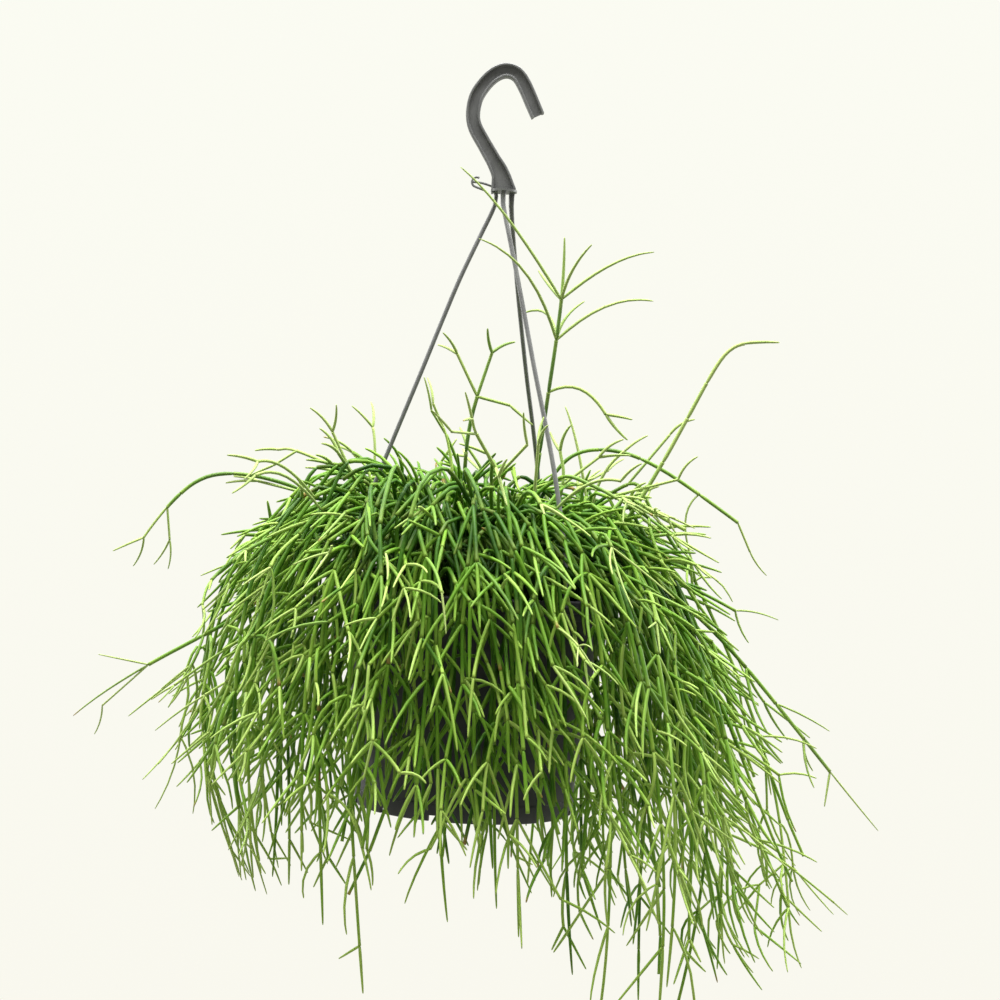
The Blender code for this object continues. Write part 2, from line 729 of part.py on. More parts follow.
def curtain_route(rng, root, angle, layer, length):
    """A stem that rises from the soil, passes over the rim and hangs. layer is 0 at the pot's wall and 1 at
    the plant's outside; length is how far down it goes, 1 being the longest."""
    reach = by_angle(REACH, angle)
    bottom = by_angle(BOTTOM, angle)
    out = Vector((math.cos(angle), math.sin(angle), 0.0))
    top = -0.252 + 0.046 * layer + rng.uniform(-0.006, 0.006)
    tip_reach = 0.086 + (reach - 0.086) * layer
    tip_z = -0.325 + (bottom + 0.325) * length
    shoulder = 0.085 + (0.60 * reach + 0.010 - 0.085) * layer
    drop = 0.010 + 0.016 * layer
    bend = 0.087 + (by_angle(SHOULDER, angle) * reach - 0.087) * layer
    level = top - 0.030 - 0.026 * layer

    def at(distance, z):
        return CENTRE + out * distance + Vector((0.0, 0.0, z))

    over = 0.058 + 0.008 * layer
    start = root + (at(over, top) - root) * 0.30 + Vector((0.0, 0.0, 0.006))
    points = [root, start, at(over, top), at(shoulder, top - drop), at(bend, level),
              at(tip_reach, (level * 0.45 + tip_z * 0.55)), at(tip_reach * 0.97, tip_z)]
    return smooth_path(points, 0.006)


def dome_route(rng, root, angle, reach, top):
    """A short stem that arches over the pot without leaving the dome."""
    out = Vector((math.cos(angle), math.sin(angle), 0.0))
    end = Vector((root.x, root.y, 0.0)) + out * reach + Vector((0.0, 0.0, top - 0.012))
    middle = root.lerp(end, 0.55)
    middle.z = top
    rise = root.lerp(end, 0.2)
    rise.z = root.z + (top - root.z) * 0.6
    return smooth_path([root, rise, middle, end], 0.006)


def curtain_plan(root, angle, layer):
    def plan(rng):
        turned_angle = angle + rng.uniform(-0.4, 0.4)
        route = curtain_route(rng, root.line[-1], turned_angle, layer + rng.uniform(-0.08, 0.05),
                              rng.uniform(0.45, 1.0))
        return route, even_joints(rng, route_length(route), 0.052, 0.030)
    return plan


def dome_plan(root, angle):
    def plan(rng):
        route = dome_route(rng, root.line[-1], angle + rng.uniform(-0.4, 0.4), rng.uniform(0.030, 0.075),
                           rng.uniform(-0.226, -0.206))
        return route, even_joints(rng, route_length(route), 0.040, 0.026)
    return plan


def plant_root(index):
    """The woody piece of a cutting that stands in the soil, as a stretch whose end is the first node."""
    x, y = root_spot(index)
    top = -RIM_DROP - SOIL_BELOW_RIM
    low = hung(x, y, top - ROOT_DEPTH)
    high = hung(x, y, top + ROOT_RISE)
    out = math.atan2(y, x)
    start = []
    for i in range(3):
        angle = out - THIRD / 2 + THIRD * i
        start.append(hung(x + ROOT_RADIUS * math.cos(angle), y + ROOT_RADIUS * math.sin(angle),
                          top - ROOT_DEPTH))
    root = Stem([low, low.lerp(high, 0.5), high], ROOT_RADIUS, start)
    root.start = start
    return root, out


def stems_that_show():
    """The stems that stand out from the plant, each with the cutting that it belongs to, its route from the
    root on, the joints along the route, and the twigs at its nodes as (joint, slot, end)."""
    v = Vector
    return {
        "tall": (5, [v((0.0090, -0.0050, -0.2450)), v((0.0181, -0.0060, -0.1906)),
                     v((0.0226, -0.0070, -0.1617)), v((0.0281, -0.0080, -0.1275)),
                     v((0.0308, -0.0080, -0.1154))],
                 [(2, 1, [v((0.0090, -0.0110, -0.1830)), v((-0.0050, -0.0150, -0.1985))]),
                  (2, 2, [v((0.0380, -0.0060, -0.1640)), v((0.0518, -0.0070, -0.1775))]),
                  (4, 0, [v((0.0306, -0.0090, -0.1000)), v((0.0302, -0.0100, -0.0854))]),
                  (4, 1, [v((0.0071, -0.0200, -0.0749)), v((-0.0166, -0.0230, -0.0497))]),
                  (4, 2, [v((0.0543, -0.0120, -0.1000)), v((0.0765, -0.0150, -0.0938))]),
                  (3, 1, [v((0.0100, -0.0240, -0.1060)), v((-0.0139, -0.0350, -0.0896))]),
                  (3, 2, [v((0.0500, -0.0020, -0.1222)), v((0.0755, 0.0060, -0.1186))]),
                  (3, 3, [v((0.0190, 0.0040, -0.1260)), v((0.0070, 0.0130, -0.1249))])]),
        "whip": (10, [v((0.0450, -0.0250, -0.2530)), v((0.0623, -0.0300, -0.2380)),
                      v((0.0807, -0.0310, -0.2011)), v((0.0965, -0.0320, -0.1748)),
                      v((0.1070, -0.0330, -0.1511)), v((0.1176, -0.0340, -0.1406)),
                      v((0.1386, -0.0350, -0.1422))], []),
        "left_arch": (19, [v((-0.0700, 0.0250, -0.2350)), v((-0.1139, 0.0200, -0.2117)),
                           v((-0.1533, 0.0160, -0.2048)), v((-0.1717, 0.0140, -0.2153)),
                           v((-0.1833, 0.0130, -0.2274))],
                      [(4, 0, [v((-0.1879, 0.0120, -0.2330)), v((-0.1928, 0.0110, -0.2420))]),
                       (4, 1, [v((-0.1796, 0.0140, -0.2432))])]),
        "left_low": (9, [v((-0.0560, -0.0205, -0.2610)), v((-0.0810, -0.0250, -0.2530)),
                          v((-0.1120, -0.0290, -0.2680)), v((-0.1533, -0.0290, -0.2958)),
                          v((-0.2007, -0.0280, -0.3105))],
                     [(4, 0, [v((-0.2130, -0.0280, -0.3190)), v((-0.2217, -0.0280, -0.3326))]),
                      (4, 1, [v((-0.2070, -0.0270, -0.3274))]),
                      (4, 2, [v((-0.2086, -0.0290, -0.3010))])]),
        "right_arch": (0, [v((0.0160, 0.0140, -0.2300)), v((0.0255, 0.0150, -0.2010)),
                           v((0.0466, 0.0160, -0.1943)), v((0.0702, 0.0170, -0.1959)),
                           v((0.0939, 0.0180, -0.2117)), v((0.1239, 0.0190, -0.2343))],
                       [(4, 1, [v((0.0960, 0.0180, -0.2320)), v((0.0991, 0.0180, -0.2538))]),
                        (5, 0, [v((0.1340, 0.0190, -0.2290)), v((0.1449, 0.0190, -0.2253))]),
                        (5, 1, [v((0.1307, 0.0200, -0.2500))])]),
        "right_low": (15, [v((0.0250, -0.0330, -0.2630)), v((0.0560, -0.0290, -0.2530)),
                           v((0.0900, -0.0270, -0.2700)), v((0.1228, -0.0260, -0.3063)),
                           v((0.1386, -0.0270, -0.3300)), v((0.1544, -0.0270, -0.3440)),
                           v((0.1660, -0.0270, -0.3642))],
                      [(6, 0, [v((0.1780, -0.0270, -0.3770)), v((0.1902, -0.0270, -0.3916))]),
                       (6, 1, [v((0.1560, -0.0270, -0.3842))])]),
        "left_spray": (3, [v((-0.0220, 0.0060, -0.2350)), v((-0.0240, 0.0060, -0.1906)),
                            v((-0.0150, 0.0060, -0.1670))],
                       [(2, 0, [v((-0.0110, 0.0060, -0.1550)), v((-0.0076, 0.0060, -0.1443))]),
                        (2, 1, [v((-0.0166, 0.0070, -0.1527))]),
                        (2, 2, [v((0.0018, 0.0040, -0.1722))])]),
    }


def best_slot(parent, way):
    """The free face of a node that looks most nearly the way a twig goes."""
    free = [slot for slot in (1, 2, 3) if slot not in parent.forks]
    return max(free, key=lambda slot: parent.slot_way(slot).dot(way)) if free else None


def grow_shown(thicket, rng, root, points, twigs):
    """A stem with a set route: its nodes are the route's points."""
    route = smooth_path([root.line[-1]] + points, 0.006)
    joints = [0.0]
    for point in points:
        nearest = min(range(len(route)), key=lambda k: (route[k] - point).length)
        joints.append(route_length(route[:nearest + 1]))
    stems = grow_along(thicket, rng, root, 0, route, joints, 0.0003)
    for joint, slot, ends in twigs:
        if joint >= len(stems):
            continue
        parent = stems[joint]
        start = parent.line[-1]
        line = [start] + list(ends)
        if slot:
            slot = best_slot(parent, (line[1] - start).normalized())
        if slot is None or slot in parent.forks:
            continue
        for attempt in range(12):
            nudge = Vector([rng.uniform(-1, 1) for _ in range(3)]) * 0.0012 * attempt
            if try_stem(thicket, parent, slot, [start] + [p + nudge for p in line[1:]]):
                break


def even_joints(rng, length, first, last):
    """Distances of the nodes along a stem: stretches get shorter towards its tip."""
    joints = [0.0]
    while joints[-1] < length - 0.6 * last:
        share = joints[-1] / length
        joints.append(joints[-1] + (first + (last - first) * share) * rng.uniform(0.85, 1.15))
    joints[-1] = min(joints[-1], length)
    return joints


def grow_plant():
    """Every cutting as its root stretch, whose forks hold the rest."""
    thicket = Thicket()
    file_hanger(thicket)
    roots = []
    for index in range(CUTTINGS):
        root, out = plant_root(index)
        thicket.add(root.line[0], root.line[-1], ROOT_RADIUS, (id(root),))
        roots.append((root, out))
    nodes = []
    for index, points, twigs in stems_that_show().values():
        rng = random.Random(SEED + 1000 + index)
        grow_shown(thicket, rng, roots[index][0], points, twigs)
    layers = (0.95, 0.30, 0.66, 0.10, 0.82, 0.48)
    count = 0
    for slot, turn in ((0, 0.0), (1, math.radians(60)), (3, math.radians(-60)), (2, math.radians(190))):
        for index, (root, out) in enumerate(roots):
            # Only the cuttings behind the middle send a third side stem, over the top to the front.
            if slot in root.forks or (slot == 2 and math.sin(out) < BEHIND):
                continue
            rng = random.Random(SEED + 100 * slot + index)
            count += 1
            near_middle = math.hypot(*root_spot(index)) < 0.022
            if slot % 2 and (near_middle or count % 4 == 0):
                plan = dome_plan(root, out + turn)
            else:
                plan = curtain_plan(root, out + turn * 0.8, layers[count % len(layers)])
            nodes += grow_well(thicket, rng, root, slot, plan, 0.0040)
    grow_twigs(thicket, nodes)
    return [root for root, _ in roots]


def twig_sag(place):
    """How strongly a twig droops: little on top of the dome, much in the curtain."""
    return 0.25 + 0.9 * min(1.0, max(0.0, (-0.215 - place.z) / 0.08))


def away_from_middle(place):
    flat = Vector((place.x - CENTRE.x, place.y - CENTRE.y, 0.0))
    return flat.normalized() if flat.length > 1e-4 else Vector((1.0, 0.0, 0.0))


def grow_twigs(thicket, nodes):
    rng = random.Random(SEED + 7)
    young = []
    for parent in nodes:
        place = parent.line[-1]
        ended = 0 not in parent.forks
        wanted = rng.choice((1, 1, 1, 2)) if not ended else 2
        slots = [0] if ended else []
        sides = [1, 2, 3]
        rng.shuffle(sides)
        for slot in (slots + sides)[:wanted]:
            if slot in parent.forks:
                continue
            length = rng.uniform(0.024, 0.042)
            twig = grow_twig(thicket, rng, parent, slot, length, twig_sag(place),
                             2 if length > LONG_TWIG else 1, away_from_middle(place) * 0.5)
            if twig:
                young.append(twig)
    for parent in young:
        if rng.random() > 0.30:
            continue
        place = parent.line[-1]
        for slot in rng.choice(((0, 1), (1, 2), (0, 2), (0, 3))):
            grow_twig(thicket, rng, parent, slot, rng.uniform(0.015, 0.026), twig_sag(place) * 0.7, 1,
                      away_from_middle(place) * 0.3)


# The skin of a cutting: each stretch is drawn out of the face it grows from.

def drawn_out(bm, face, verts, corners):
    """Extrudes a face, puts its corners in place and returns it with its corners in the same order."""
    grown = bmesh.ops.extrude_discrete_faces(bm, faces=[face])["faces"][0]
    moved = [min(grown.verts, key=lambda g: (g.co - vert.co).length_squared) for vert in verts]
    for vert, corner in zip(moved, corners):
        vert.co = corner
    return grown, moved


def drawn_to_node(bm, face, verts, stem):
    """Draws a face to the node's low corners, then to its high ones, which are turned by half a side. Returns
    the faces that forks grow from, with their corners, by slot."""
    face, low = drawn_out(bm, face, verts, stem.low)
    face, high = drawn_out(bm, face, low, stem.high)
    slots = {0: (face, high)}
    for i in range(3):
        after = (i + 1) % 3
        edge = bm.edges.get((high[i], high[after]))
        quad = next(f for f in edge.link_faces if f != face)
        bmesh.utils.face_split(quad, low[after], high[i])
        corners = [low[after], high[after], high[i]]
        side = next(f for f in high[i].link_faces if set(f.verts) == set(corners))
        slots[i + 1] = (side, corners)
    return slots


def skin(bm, face, verts, stem):
    for corners in stem.rings:
        face, verts = drawn_out(bm, face, verts, corners)
    if not stem.forks:
        drawn_out(bm, face, verts, stem.tip)
        return
    slots = drawn_to_node(bm, face, verts, stem)
    for slot, fork in sorted(stem.forks.items()):
        skin(bm, *slots[slot], fork)


def build_cutting(index, root, material):
    bm = bmesh.new()
    foot = [bm.verts.new(corner) for corner in root.start]
    skin(bm, bm.faces.new(foot), foot, root)
    bm.faces.new(reversed(foot))
    bmesh.ops.triangulate(bm, faces=bm.faces)
    bmesh.ops.recalc_face_normals(bm, faces=bm.faces)
    return named_object(f"cutting_{index + 1:02d}", bm, material)


def main():
    clear_scene()
    frame = bpy.data.objects.new("hanging_tilt", None)
    bpy.context.scene.collection.objects.link(frame)
    frame.rotation_euler = (0.0, TILT, 0.0)
    build_pot(frame)
    build_hanger(frame)
    build_soil(frame)
    green = plain_material("stem_green", (0.13, 0.30, 0.05), 0.55)
    for index, root in enumerate(grow_plant()):
        build_cutting(index, root, green)


main()
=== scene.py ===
"""The looks of the potted rhipsalis: a hanging pot, its hook hanger, the potting mix and twenty rooted cuttings,
each dressed over its CAD solid. Metres, +Z up, and the origin is the saddle of the hook."""

import math
import random

import bmesh
import bpy
from mathutils import Matrix, Vector, noise
from mathutils.bvhtree import BVHTree


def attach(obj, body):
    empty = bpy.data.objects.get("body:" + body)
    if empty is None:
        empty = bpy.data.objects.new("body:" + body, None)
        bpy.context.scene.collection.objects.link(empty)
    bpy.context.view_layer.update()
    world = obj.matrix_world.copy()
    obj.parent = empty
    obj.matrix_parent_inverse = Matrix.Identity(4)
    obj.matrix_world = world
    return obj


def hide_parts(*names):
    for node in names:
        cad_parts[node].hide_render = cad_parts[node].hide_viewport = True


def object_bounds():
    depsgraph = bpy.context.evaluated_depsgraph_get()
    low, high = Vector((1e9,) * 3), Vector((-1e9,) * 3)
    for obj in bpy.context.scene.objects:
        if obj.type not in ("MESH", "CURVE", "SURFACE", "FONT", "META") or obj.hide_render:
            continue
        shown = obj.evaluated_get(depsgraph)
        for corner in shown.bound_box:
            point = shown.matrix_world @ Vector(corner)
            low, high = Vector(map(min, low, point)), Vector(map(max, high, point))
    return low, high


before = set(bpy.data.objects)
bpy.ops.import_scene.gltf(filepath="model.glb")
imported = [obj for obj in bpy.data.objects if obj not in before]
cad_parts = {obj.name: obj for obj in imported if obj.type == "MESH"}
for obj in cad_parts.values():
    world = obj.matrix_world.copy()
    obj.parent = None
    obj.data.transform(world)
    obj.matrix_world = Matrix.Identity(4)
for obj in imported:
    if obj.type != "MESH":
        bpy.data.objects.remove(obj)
solid_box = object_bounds()

# The pot. One moulding in dark anthracite polypropylene: a tapered wall, a rim band turned down over it, three
# ears for the hanger's arms, and a stepped foot band with slots round a raised bottom with drain holes. The
# pot, its soil and the hanger hang a few degrees off plumb, because the plant is heavier on one side.
TILT = math.radians(3.4)
RIM_DROP = 0.2705
POT_HEIGHT = 0.1130
RIM_RADIUS = 0.0710
WALL_TOP_RADIUS = 0.0680
WALL_BASE_RADIUS = 0.0562
WALL = 0.0014
RIM_BAND = 0.0100
RIM_SKIRT = 0.0010
RIM_TOP = 0.0020
FOOT_BAND = 0.0090
FOOT_STEP = 0.0008
FLOOR_LIFT = 0.0040
FLOOR_THICKNESS = 0.0016
NOTCHES = 12
NOTCH_WIDTH = 0.0040
NOTCH_HEIGHT = 0.0030
DRAINS = 6
DRAIN_RADIUS = 0.0035
DRAIN_CIRCLE = 0.0340
EAR_RADIUS = 0.0750
EAR_WIDTH = 0.0100
EAR_OUT = 0.0795
EAR_THICKNESS = 0.0035
EAR_DROP = 0.0022
EAR_HOLE = 0.0020
EAR_ANGLES = [math.radians(a) for a in (187.0, 307.0, 67.0)]
POT_SIDES = 96
SOFTENED_ANGLE = math.radians(35)
SHADED_SHARP = math.radians(38)
POT_GREY = (0.035, 0.036, 0.038)


def wall_radius(drop):
    """Outer radius of the tapered wall at a drop below the rim's top."""
    return WALL_TOP_RADIUS + (WALL_BASE_RADIUS - WALL_TOP_RADIUS) * drop / POT_HEIGHT


def pot_profile():
    """Half section of the pot, up the inside, over the rim and down the outside to the foot, then back to the
    middle under the raised floor."""
    rim = -RIM_DROP
    base = rim - POT_HEIGHT
    floor = base + FLOOR_LIFT
    inner_foot = wall_radius(POT_HEIGHT - FLOOR_LIFT) - WALL
    return [
        (0.0, floor + FLOOR_THICKNESS),
        (inner_foot, floor + FLOOR_THICKNESS),
        (wall_radius(RIM_BAND) - WALL, rim - RIM_BAND),
        (WALL_TOP_RADIUS - WALL, rim - 0.0006),
        (WALL_TOP_RADIUS - WALL + 0.0006, rim),
        (RIM_RADIUS - 0.0008, rim),
        (RIM_RADIUS, rim - 0.0008),
        (RIM_RADIUS - 0.0004, rim - RIM_BAND),
        (RIM_RADIUS - 0.0004 - RIM_SKIRT, rim - RIM_BAND),
        (RIM_RADIUS - 0.0006 - RIM_SKIRT, rim - RIM_TOP),
        (wall_radius(RIM_TOP) + 0.0002, rim - RIM_TOP),
        (wall_radius(POT_HEIGHT - FOOT_BAND), base + FOOT_BAND),
        (wall_radius(POT_HEIGHT - FOOT_BAND) + FOOT_STEP, base + FOOT_BAND - 0.0006),
        (WALL_BASE_RADIUS + FOOT_STEP, base),
        (WALL_BASE_RADIUS - WALL, base),
        (inner_foot - 0.0004, floor),
        (0.0, floor),
    ]


def turned(profile, sides):
    bm = bmesh.new()
    verts = [bm.verts.new((r, 0.0, z)) for r, z in profile]
    edges = [bm.edges.new(pair) for pair in zip(verts, verts[1:])]
    bmesh.ops.spin(bm, geom=verts + edges, axis=(0, 0, 1), cent=(0, 0, 0), steps=sides,
                   angle=math.tau, use_merge=True)
    bmesh.ops.remove_doubles(bm, verts=bm.verts, dist=1e-6)
    bmesh.ops.recalc_face_normals(bm, faces=bm.faces)
    return bm


def round_the_axis(radius, angle, z):
    return Vector((radius * math.cos(angle), radius * math.sin(angle), z))


def softened(bm, size):
    """Rounds every sharp edge."""
    sharp = [e for e in bm.edges if len(e.link_faces) == 2 and e.calc_face_angle(0.0) > SOFTENED_ANGLE]
    bmesh.ops.bevel(bm, geom=sharp, offset=size, segments=2, profile=0.5, affect="EDGES",
                    material=-1, clamp_overlap=True)


def as_object(name, bm):
    mesh = bpy.data.meshes.new(name)
    bm.to_mesh(mesh)
    bm.free()
    piece = bpy.data.objects.new(name, mesh)
    bpy.context.scene.collection.objects.link(piece)
    return piece


def block(size, centre, angle, soft=0.0):
    bm = bmesh.new()
    bmesh.ops.create_cube(bm, size=1.0)
    bmesh.ops.scale(bm, vec=size, verts=bm.verts)
    if soft:
        softened(bm, soft)
    bmesh.ops.translate(bm, vec=centre, verts=bm.verts)
    bmesh.ops.rotate(bm, cent=(0, 0, 0), matrix=Matrix.Rotation(angle, 3, "Z"), verts=bm.verts)
    return as_object("helper", bm)


def rod(radius, length, centre, sides=24):
    bm = bmesh.new()
    bmesh.ops.create_cone(bm, cap_ends=True, segments=sides, radius1=radius, radius2=radius, depth=length)
    bmesh.ops.translate(bm, vec=centre, verts=bm.verts)
    return as_object("helper", bm)


def with_boolean(piece, helpers, operation):
    """Joins the helpers to a piece or cuts them from it, and removes them."""
    group = bpy.data.collections.new("helpers")
    bpy.context.scene.collection.children.link(group)
    for helper in helpers:
        bpy.context.scene.collection.objects.unlink(helper)
        group.objects.link(helper)
    boolean = piece.modifiers.new("boolean", "BOOLEAN")
    boolean.operation = operation
    boolean.operand_type = "COLLECTION"
    boolean.collection = group
    boolean.solver = "EXACT"
    bpy.context.view_layer.update()
    joined = bpy.data.meshes.new_from_object(piece.evaluated_get(bpy.context.evaluated_depsgraph_get()))
    piece.modifiers.clear()
    piece.data = joined
    for helper in helpers:
        bpy.data.objects.remove(helper, do_unlink=True)
    bpy.data.collections.remove(group)


def hang_and_shade(piece, sharp=SHADED_SHARP):
    """Turns a piece to the angle at which the pot hangs, and shades it smooth between its sharp edges."""
    bm = bmesh.new()
    bm.from_mesh(piece.data)
    bmesh.ops.rotate(bm, cent=(0, 0, 0), matrix=Matrix.Rotation(TILT, 3, "Y"), verts=bm.verts)
    for face in bm.faces:
        face.smooth = True
    for edge in bm.edges:
        edge.smooth = len(edge.link_faces) == 2 and edge.calc_face_angle(0.0) < sharp
    bm.to_mesh(piece.data)
    bm.free()


def node_adder(tree):
    """A function that adds a node to a tree, its inputs set or joined to what is named."""
    def add(kind, inputs=None, **settings):
        node = tree.nodes.new("ShaderNode" + kind)
        for key, value in settings.items():
            setattr(node, key, value)
        for key, value in (inputs or {}).items():
            if isinstance(value, bpy.types.NodeSocket):
                tree.links.new(value, node.inputs[key])
            else:
                node.inputs[key].default_value = value
        return node

    return add


def node_material(name):
    """A new material with its shader, and the functions that add and join its nodes."""
    material = bpy.data.materials.new(name)
    material.use_nodes = True
    tree = material.node_tree
    return material, tree.nodes["Principled BSDF"], node_adder(tree), tree.links.new


def rescaled(add, value, span, result=(0.0, 1.0)):
    """A value's span stretched to the result's, and held inside it."""
    return add("MapRange", {"Value": value, "From Min": span[0], "From Max": span[1],
                            "To Min": result[0], "To Max": result[1]}).outputs["Result"]


def blended(add, factor, colour, other):
    """A colour socket mixed by a factor with another, plain colour."""
    return add("Mix", {"Factor": factor, "A": colour, "B": (*other, 1)}, data_type="RGBA").outputs["Result"]


def colour_steps(add, factor, steps):
    """A colour ramp from (place, colour) pairs."""
    ramp = add("ValToRGB", {"Fac": factor})
    stops = ramp.color_ramp.elements
    for stop, (place, colour) in zip(stops, (steps[0], steps[-1])):
        stop.position, stop.color = place, (*colour, 1)
    for place, colour in steps[1:-1]:
        stops.new(place).color = (*colour, 1)
    return ramp.outputs["Color"]


def clouds(add, place, scale, detail, roughness=0.5):
    return add("TexNoise", {"Vector": place, "Scale": scale, "Detail": detail,
                            "Roughness": roughness}).outputs["Fac"]


def dimpled(add, join, shader, height, strength, distance):
    bump = add("Bump", {"Height": height, "Strength": strength, "Distance": distance})
    join(bump.outputs["Normal"], shader.inputs["Normal"])


def moulded_plastic(name, colour, lighter, roughness, grain):
    """Satin polypropylene: fine moulded grain, cloudy flow marks and a little dust."""
    material, shader, add, join = node_material(name)
    place = add("TexCoord").outputs["Object"]
    flow = clouds(add, place, 38.0, 4.0, 0.6)
    dust = clouds(add, place, 160.0, 2.0)
    mixed = add("Math", {0: flow, 1: dust}, operation="MULTIPLY").outputs[0]
    join(colour_steps(add, mixed, [(0.12, colour), (0.42, lighter)]), shader.inputs["Base Color"])
    join(rescaled(add, flow, (0.3, 0.7), (roughness - 0.07, roughness + 0.08)), shader.inputs["Roughness"])
    dimpled(add, join, shader, clouds(add, place, grain, 2.0), 0.10, 0.0001)
    shader.inputs["Specular IOR Level"].default_value = 0.25
    return material


def pot_body():
    bm = turned(pot_profile(), POT_SIDES)
    softened(bm, 0.00025)
    pot = as_object("pot_moulding", bm)
    ear_inner = RIM_RADIUS - 0.0012
    ear_size = (EAR_OUT - ear_inner, EAR_WIDTH, EAR_THICKNESS)
    ear_centre = ((EAR_OUT + ear_inner) / 2, 0.0, -RIM_DROP - EAR_DROP - EAR_THICKNESS / 2)
    with_boolean(pot, [block(ear_size, ear_centre, angle, 0.0005) for angle in EAR_ANGLES], "UNION")
    base = -RIM_DROP - POT_HEIGHT
    slot_size = (0.0080, NOTCH_WIDTH, NOTCH_HEIGHT * 2)
    cutters = [block(slot_size, (WALL_BASE_RADIUS, 0.0, base), math.tau / NOTCHES * (k + 0.5), 0.0004)
               for k in range(NOTCHES)]
    cutters += [rod(DRAIN_RADIUS, 0.02, round_the_axis(DRAIN_CIRCLE, math.tau * k / DRAINS, base + FLOOR_LIFT))
                for k in range(DRAINS)]
    cutters += [rod(EAR_HOLE, 0.02, round_the_axis(EAR_RADIUS, angle, -RIM_DROP)) for angle in EAR_ANGLES]
    with_boolean(pot, cutters, "DIFFERENCE")
    hang_and_shade(pot)
    return pot


pot = pot_body()
pot.data.materials.append(moulded_plastic("anthracite_plastic", POT_GREY, (0.050, 0.051, 0.053), 0.42, 2600.0))
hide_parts("pot")
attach(pot, "root")

# The hanger. One moulding in grey polypropylene: an H-section hook that flares into a round cap, three thin arms
# that run from the cap to the pot's ears, snapped in by barbed feet, and a small C-shaped catch for a label.
ARM_RADIUS = 0.0012
ARM_BOWS = [-0.0005, 0.0047, 0.0078]
ARM_TWIST = math.radians(-37.0)
ARM_START = 0.0050
BARB_RADIUS = 0.0027
BARB_LENGTH = 0.0045
BARB_GAP = 0.0003
ARM_STEP = 0.0220
HOOK_DEPTH = 0.0062
HOOK_WEB = 0.0020
HOOK_FLANGE = 0.0013
CAP_RADIUS = 0.0069
CAP_THICKNESS = 0.0012
CAP_DROP = 0.0600
CAP_SHIFT = 0.0022
CATCH_RADIUS = 0.0026
CATCH_WIRE = 0.0006
HANGER_GREY = (0.122, 0.124, 0.122)


def smooth_path(points, spacing):
    """Places along a smooth curve through the points, about one for each spacing."""
    ends = [points[0] * 2 - points[1]] + list(points) + [points[-1] * 2 - points[-2]]
    path = []
    for i in range(1, len(ends) - 2):
        a, b, c, d = ends[i - 1:i + 3]
        steps = max(1, round((c - b).length / spacing))
        for k in range(steps):
            t = k / steps
            path.append(0.5 * (2 * b + (c - a) * t + (2 * a - 5 * b + 4 * c - d) * t * t
                               + (3 * b - a - 3 * c + d) * t ** 3))
    path.append(points[-1].copy())
    return path


def round_section(half_side, half_up, sides):
    turn = [math.tau * (k + 0.5) / sides for k in range(sides)]
    return [(half_side * math.cos(a), half_up * math.sin(a)) for a in turn]


def hook_points():
    """Centre line and half width of the hook bar, from the cap up and round to the tip."""
    line = [(-0.0002, -0.0598, 0.0066), (-0.0018, -0.0508, 0.0047), (-0.0052, -0.0440, 0.0039),
            (-0.0098, -0.0360, 0.0037), (-0.0150, -0.0268, 0.0037), (-0.0164, -0.0195, 0.0037),
            (-0.0150, -0.0108, 0.0037), (-0.0103, -0.0030, 0.0036), (-0.0050, 0.0019, 0.0036),
            (0.0003, 0.0036, 0.0036), (0.0056, 0.0018, 0.0036), (0.0098, -0.0038, 0.0037),
            (0.0140, -0.0120, 0.0037), (0.0176, -0.0192, 0.0036)]
    return [(Vector((x + CAP_SHIFT * max(0.0, (-0.03 - z) / 0.03), 0.0, z)), half) for x, z, half in line]


def clamped(share):
    return min(1.0, max(0.0, share))


def partway(low, high, share):
    """The value at a share of the way from one to another."""
    return low + (high - low) * share


def share_along(place, a, b):
    """How far along a span the point nearest to a place is, as a share."""
    return clamped((place - a).dot(b - a) / (b - a).length_squared)


def upward(height):
    return Vector((0.0, 0.0, height))


def off_span(place, a, b):
    return (place - a - (b - a) * share_along(place, a, b)).length


def arm_line(index):
    """The middle of an arm, from inside the cap to under its ear, in the assembly's own frame. The cap is
    turned a little against the pot, and the arms bow out sideways above the plant."""
    ear = round_the_axis(EAR_RADIUS, EAR_ANGLES[index], -RIM_DROP - EAR_DROP)
    away = round_the_axis(1.0, EAR_ANGLES[index] + ARM_TWIST, 0.0)
    start = Vector((CAP_SHIFT, 0.0, -CAP_DROP)) + away * ARM_START
    line = [start + upward(0.0006), start - upward(0.0070)]
    for share in (0.22, 0.45, 0.68, 0.88):
        bulge = share ** 3 * (1 - share) / 0.1055
        line.append(start.lerp(ear, share) + Vector((ARM_BOWS[index] * bulge, 0.0, 0.0)))
    line.append(ear + upward(0.0040))
    line.append(ear - upward(EAR_THICKNESS))
    return line


def swept(path, section_at, across):
    """A bar drawn along a path: its first section is extruded from place to place and set to each new one."""
    bm = bmesh.new()
    ring = []
    for i, place in enumerate(path):
        ahead = (path[min(i + 1, len(path) - 1)] - path[max(i - 1, 0)]).normalized()
        side = (across - ahead * across.dot(ahead)).normalized()
        up = side.cross(ahead)
        corners = [place + side * s + up * u for s, u in section_at(i)]
        if not ring:
            ring = [bm.verts.new(corner) for corner in corners]
            bm.faces.new(ring)
            continue
        edges = [bm.edges.get((a, b)) for a, b in zip(ring, ring[1:] + ring[:1])]
        drawn = bmesh.ops.extrude_edge_only(bm, edges=edges)["geom"]
        grown = [v for v in drawn if isinstance(v, bmesh.types.BMVert)]
        ring = [min(grown, key=lambda g: (g.co - old.co).length_squared) for old in ring]
        for vert, corner in zip(ring, corners):
            vert.co = corner
    bm.faces.new(ring)
    bmesh.ops.recalc_face_normals(bm, faces=bm.faces)
    return bm


